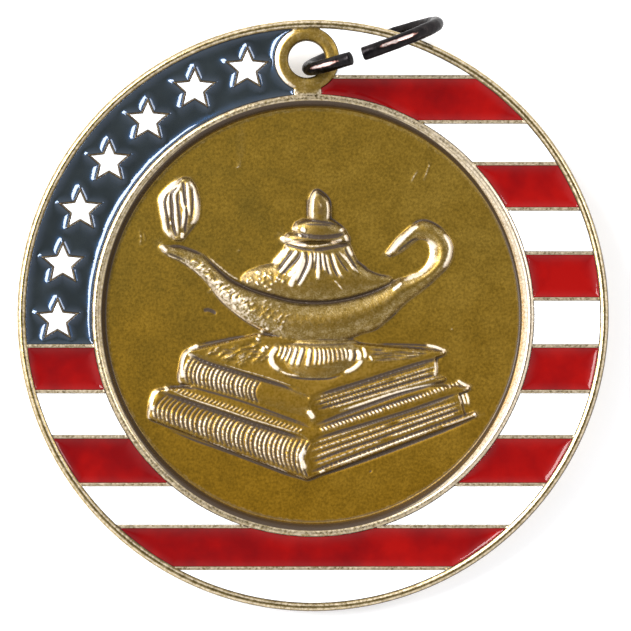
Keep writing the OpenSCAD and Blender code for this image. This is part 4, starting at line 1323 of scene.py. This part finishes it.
def antique_gold():
    """Brass: an olive field, warmer at the bottom and painted lighter to the right, pale worn rims,
    crests pale with wear and painted highlight, and grooves dark with patina and painted shade.
    """
    mat, n, bsdf = material("antique_gold")
    rimmed = n.value("rim")
    speck = n.noise(0.22, 2.0, 0.5, shift=3.0)
    fine = n.noise(0.13, 1.0, 0.5, shift=8.0)
    broad = n.noise(9.0, 1.0, 0.5, shift=11.0)
    low = n.add(n.scale(n.along("Y"), 0.006, -0.020, 0.0, 0.8), n.times(broad, 0.2))
    cloud = n.add(n.times(n.noise(2.6, 4.0, 0.62), 0.82), n.times(speck, 0.18))
    # Painted light: the field is lighter towards the right.
    cloud = n.add(cloud, n.scale(n.along("X"), -0.018, 0.018, -0.14, 0.14))
    olive = n.ramp(cloud, shades((0.25, 117, 96, 37), (0.5, 132, 106, 39), (0.75, 147, 120, 49)))
    warm = n.ramp(cloud, shades((0.25, 126, 93, 20), (0.5, 141, 104, 22), (0.75, 155, 116, 30)))
    grainy = n.scale(rimmed, 0.86, 0.98, 0.45, 0.08)
    patch = n.add(n.times(n.noise(0.5, 4.0, 0.6, shift=1.0), 0.6),
                  n.add(n.times(n.add(fine, -0.5), grainy), 0.2))
    rim = n.ramp(patch, shades((0.36, 108, 90, 48), (0.5, 152, 132, 82), (0.64, 206, 186, 142)))
    crests_and_highlights = n.scale(n.add(n.value("crest_and_highlight"), n.times(speck, 0.5)), 0.48, 0.9)
    grooves_and_shade = n.scale(n.add(n.value("groove_and_shade"), n.times(speck, 0.3)), 0.3, 0.75)
    color = n.mix(rimmed, n.mix(low, olive, warm), rim)
    color = n.mix(crests_and_highlights, color, srgb(246, 230, 206))
    color = n.mix(grooves_and_shade, color, srgb(64, 50, 36))
    metallic = n.times(n.scale(grooves_and_shade, 0.0, 1.0, 1.0, 0.25), n.scale(crests_and_highlights, 0.0, 1.0, 1.0, 0.5))
    rough = n.add(n.scale(speck, 0.3, 0.7, 0.38, 0.48), n.scale(rimmed, 0.5, 1.0, 0.0, -0.14))
    coarse = n.times(grainy, n.scale(rimmed, 0.0, 0.9, 0.6, 2.0))
    grain = n.bump(n.times(fine, coarse), 0.5, 0.03)
    normal = n.bump(n.noise(1.4, 2.0, 0.5, shift=7.0), 0.15, 0.05, Normal=grain)
    n.feed(bsdf, {"Base Color": color, "Metallic": metallic, "Roughness": rough, "Normal": normal})
    return mat


def enamel(name, stops, size_mm, coat=1.0, sheen=None):
    """Glossy enamel, a little lighter towards the right. Sheen colours the edges of its glints."""
    mat, n, bsdf = material(name)
    across = n.scale(n.along("X"), -0.02, 0.024, -0.12, 0.12)
    n.feed(bsdf, {
        "Base Color": n.ramp(n.add(n.noise(size_mm, 3.0, 0.55, shift=2.0), across), stops),
        "Roughness": 0.22 if sheen else 0.4,
        "Specular IOR Level": 0.5 if sheen else 0.05,
        "Coat Weight": coat,
        "Coat Roughness": 0.05,
        "Coat Normal": n.bump(n.noise(1.8, 2.0, 0.5, shift=9.0), 0.15, 0.06),
    })
    if sheen:
        n.feed(bsdf, {"Specular Tint": sheen})
    return mat


def dark_bronze():
    """Blackened wire, worn bare and pale where the crest tone gives it painted highlights."""
    mat, n, bsdf = material("dark_bronze")
    dark = n.ramp(n.noise(0.8, 4.0, 0.65, (1.0, 0.5, 1.0)), shades(
        (0.35, 30, 28, 29), (0.6, 44, 41, 41), (0.8, 66, 58, 56)))
    worn_highlight = n.add(n.value("crest_and_highlight"), n.times(n.noise(0.5, 3.0, 0.6, shift=6.0), 0.7))
    bare_highlight = n.ramp(n.scale(worn_highlight, 0.85, 1.2), shades(
        (0.0, 60, 50, 48), (0.4, 180, 128, 116), (0.8, 252, 232, 224)))
    n.feed(bsdf, {
        "Base Color": n.mix(n.scale(worn_highlight, 0.85, 0.95), dark, bare_highlight),
        "Metallic": 1.0,
        "Specular Tint": (0.55, 0.55, 0.55, 1),
        "Roughness": n.scale(n.noise(0.4, 2.0, 0.5), 0.3, 0.7, 0.22, 0.42),
        "Normal": n.bump(n.noise(0.3, 3.0, 0.6, shift=4.0), 0.3, 0.04),
    })
    return mat


BLUE = shades((0.3, 32, 36, 35), (0.7, 41, 46, 46))
RED = shades((0.3, 106, 2, 5), (0.5, 122, 3, 4), (0.7, 138, 6, 4))
WHITE = shades((0.3, 238, 238, 236), (0.7, 252, 252, 252))
MATERIALS = {
    "antique_gold": antique_gold(),
    "dark_bronze": dark_bronze(),
    "enamel_blue": enamel("enamel_blue", BLUE, 3.0, sheen=(0.02, 0.3, 0.9, 1)),
    "enamel_red": enamel("enamel_red", RED, 3.4, coat=0.4),
    "enamel_white": enamel("enamel_white", WHITE, 4.0),
}


# The pieces

def make_body():
    body = Solid()
    add_field(body)
    add_rim(body, INNER_RIM, inner_tones)
    add_rim(body, OUTER_RIM, outer_tones)
    add_back(body, add_band(body))
    show("medal_body_struck", body, "antique_gold", "medal_body")


# The enamel: its underside, its height far from the walls, and how it climbs at them
ENAMEL_FOOT = CELL_Z + 0.03
ENAMEL_LOW, ENAMEL_RISE, ENAMEL_REACH = 2.06, 0.28, 0.42
WALL_GAP, STAR_WALL_GAP = 0.01, 0.035


def enamel_points(loops, low, high):
    """Points in a cell, close along its walls, from a box's low corner to its high one."""
    points = [inset(loop, d) for loop in loops for d in (0.05, 0.11, 0.2, 0.34, 0.55)]
    points = np.vstack(points + [grid_points(low, high, 0.3)])
    points = points[inside_loops(points, loops)]
    d = wall_distance(points, loops)
    near, wide = points[(d > 0.04) & (d < 0.6)], points[d >= 0.6]
    return np.vstack([thin_out(near, 0.07), thin_out(wide, 0.2)])


def enamel_height(p, d, k):
    """The height of cell k's enamel at a distance d from its walls, a little uneven."""
    x, y = p.T
    waves = 0.012 * np.sin(x * 0.8 + 0.7 * k) * np.sin(y * 0.9 + k)
    waves += 0.006 * np.sin(x * 2.3 + y * 1.9 + k)
    if CELLS[k].startswith("star"):
        return ENAMEL_LOW + 0.16 + 0.08 * rise(d, STAR_WALL_GAP, 0.3) ** 0.5 + waves * 0.3
    climb = ENAMEL_RISE * np.exp(-(d - WALL_GAP) / ENAMEL_REACH)
    return ENAMEL_LOW + climb + waves * rise(d, 0, 0.5)


def make_enamel(k):
    name, loops = CELLS[k], LOOPS[k]
    kind = name.split("_")[0]
    gap = STAR_WALL_GAP if kind == "star" else WALL_GAP
    edge = [inset(loop, gap)[:len(loop)] for loop in loops]
    points, edges = stack(edge)
    inner = enamel_points(loops, points.min(0), points.max(0))
    p, f = triangulate(np.vstack([points, inner]), edges, odd=True)
    z = enamel_height(p, wall_distance(p, loops), k)
    piece = Solid()
    piece.add(with_z(p, z), f)
    heights = height_lookup(p, z)
    for loop in edge:
        piece.strip(with_z(loop, heights(loop)), with_z(loop, ENAMEL_FOOT))
    q, g = triangulate(points, edges, odd=True)
    piece.add(with_z(q, ENAMEL_FOOT), g)
    show(name + "_fill", piece, "enamel_" + ("white" if kind == "star" else kind), name)


# The jump ring, as in the part's source
WIRE_R, RING_R = 0.6, 5.82
RING_GAP = 1.15 / RING_R
RING_GAP_AT, RING_TURN, RING_LEAN = (math.radians(a) for a in (101, 19.4, 5.7))
RING_AT = np.array([5.13108, 23.1413, 2.2])
RING_STEPS, WIRE_STEPS = 260, 32
# Its cut ends are bevelled. Columns: place over the bevel's length, how much thinner the wire is
BEVEL = 0.06 / RING_R
BEVEL_ROWS = [(0, 0.05), (0.4, 0.02), (1, 0)]
# Dents, and worn bare marks that are painted highlights: how deep, and where along the wire, as
# shares, with their lengths
DENT = 0.012
WORN_HIGHLIGHTS = [(0.912, 0.056), (0.072, 0.052)]


def make_ring():
    sweep = 2 * math.pi - RING_GAP
    side = turn_angles(WIRE_STEPS)
    stand = Matrix.Rotation(math.pi / 2 + RING_LEAN, 3, "X")
    turn = np.array(Matrix.Rotation(RING_TURN, 3, "Z") @ stand)
    ends = [(k * BEVEL, thin) for k, thin in BEVEL_ROWS]
    middle = np.linspace(BEVEL * 2, sweep - BEVEL * 2, RING_STEPS)
    places = ends + [(s, 0) for s in middle] + [(sweep - s, thin) for s, thin in reversed(ends)]
    # Painted highlight, as bare metal, on the side that faces up
    facing = bell(np.angle(np.exp(1j * (side + 0.25))), 0, 0.36)

    def row(s, thin):
        a = RING_GAP_AT + RING_GAP + s
        dent = 0.006 * (np.sin(a * 7 + side * 2) + np.sin(a * 17 + side * 3 + 1))
        dent += 0.004 * np.sin(a * 41 + side)
        r = WIRE_R - thin - DENT + np.clip(dent, -DENT, DENT)
        out = RING_R + r * np.cos(side)
        return np.c_[out * math.cos(a), out * math.sin(a), r * np.sin(side)] @ turn.T + RING_AT

    def tone(s):
        worn_highlight = max(bell(s / sweep, at, length, 4) for at, length in WORN_HIGHLIGHTS)
        return np.c_[worn_highlight * facing, np.zeros((WIRE_STEPS, 2))]

    piece = Solid()
    rows, tones = [row(*place) for place in places], [tone(s) for s, _ in places]
    for k in range(len(rows) - 1):
        piece.strip(rows[k], rows[k + 1], np.vstack(tones[k:k + 2]))
    for end in (rows[0], rows[-1]):
        centre = end.mean(0)
        small = centre + (end - centre) * 0.5
        piece.strip(end, small)
        fan = [(i, j, WIRE_STEPS) for i, j in loop_edges(0, WIRE_STEPS)]
        piece.add(np.vstack([small, small.mean(0)]), fan)
    show("jump_ring_wire", piece, "dark_bronze", "jump_ring")


make_body()
for cell in range(len(CELLS)):
    make_enamel(cell)
make_ring()


# Floor and light. The floor glows softly, as a light table does.

FLOOR_HALF, FLOOR_Z = 3.0, -0.0002


def make_floor():
    mat, n, bsdf = material("floor")
    greys = [(0.3, (0.86, 0.86, 0.86, 1)), (0.7, (0.9, 0.9, 0.9, 1))]
    n.feed(bsdf, {
        "Base Color": n.ramp(n.noise(40, 3.0), greys), "Roughness": 0.9,
        "Emission Color": (1, 1, 1, 1), "Emission Strength": 0.4})
    data = bpy.data.meshes.new("floor")
    corners = np.array([(-1, -1), (1, -1), (1, 1), (-1, 1)]) * FLOOR_HALF
    data.from_pydata(with_z(corners, FLOOR_Z).tolist(), [], [(0, 1, 2, 3)])
    data.materials.append(mat)
    add_object("floor", data)


def area_light(name, azimuth, elevation, distance, size, power):
    """An oval light that faces the origin from a direction in degrees."""
    data = bpy.data.lights.new(name, "AREA")
    data.shape, data.energy = "ELLIPSE", power
    data.size, data.size_y = size
    a, e = math.radians(azimuth), math.radians(elevation)
    at = Vector((*polar(math.cos(e), a), math.sin(e))) * distance
    turn = at.to_track_quat("Z", "Y").to_matrix().to_4x4()
    add_object(name, data).matrix_world = Matrix.Translation(at) @ turn


def make_world():
    """Even pale surroundings, dark straight above, where the camera stands."""
    world = bpy.data.worlds.new("world")
    world.use_nodes = True
    n = Nodes(world.node_tree)
    generated = n.new("ShaderNodeTexCoord").outputs["Generated"]
    up = n.new("ShaderNodeSeparateXYZ", {0: generated}).outputs["Z"]
    greys = [(0.62, 1.0), (0.88, 0.5), (0.985, 0.14)]
    color = n.ramp(up, [(at, (c, c, c * 1.03, 1)) for at, c in greys])
    n.feed(world.node_tree.nodes["Background"], {0: color})
    bpy.context.scene.world = world


make_floor()
area_light("key", 158, 50, 0.6, (0.5, 0.2), 5.5)
area_light("side", 20, 40, 0.7, (0.18, 0.18), 0.8)
make_world()
bpy.context.scene.view_settings.view_transform = "Standard"
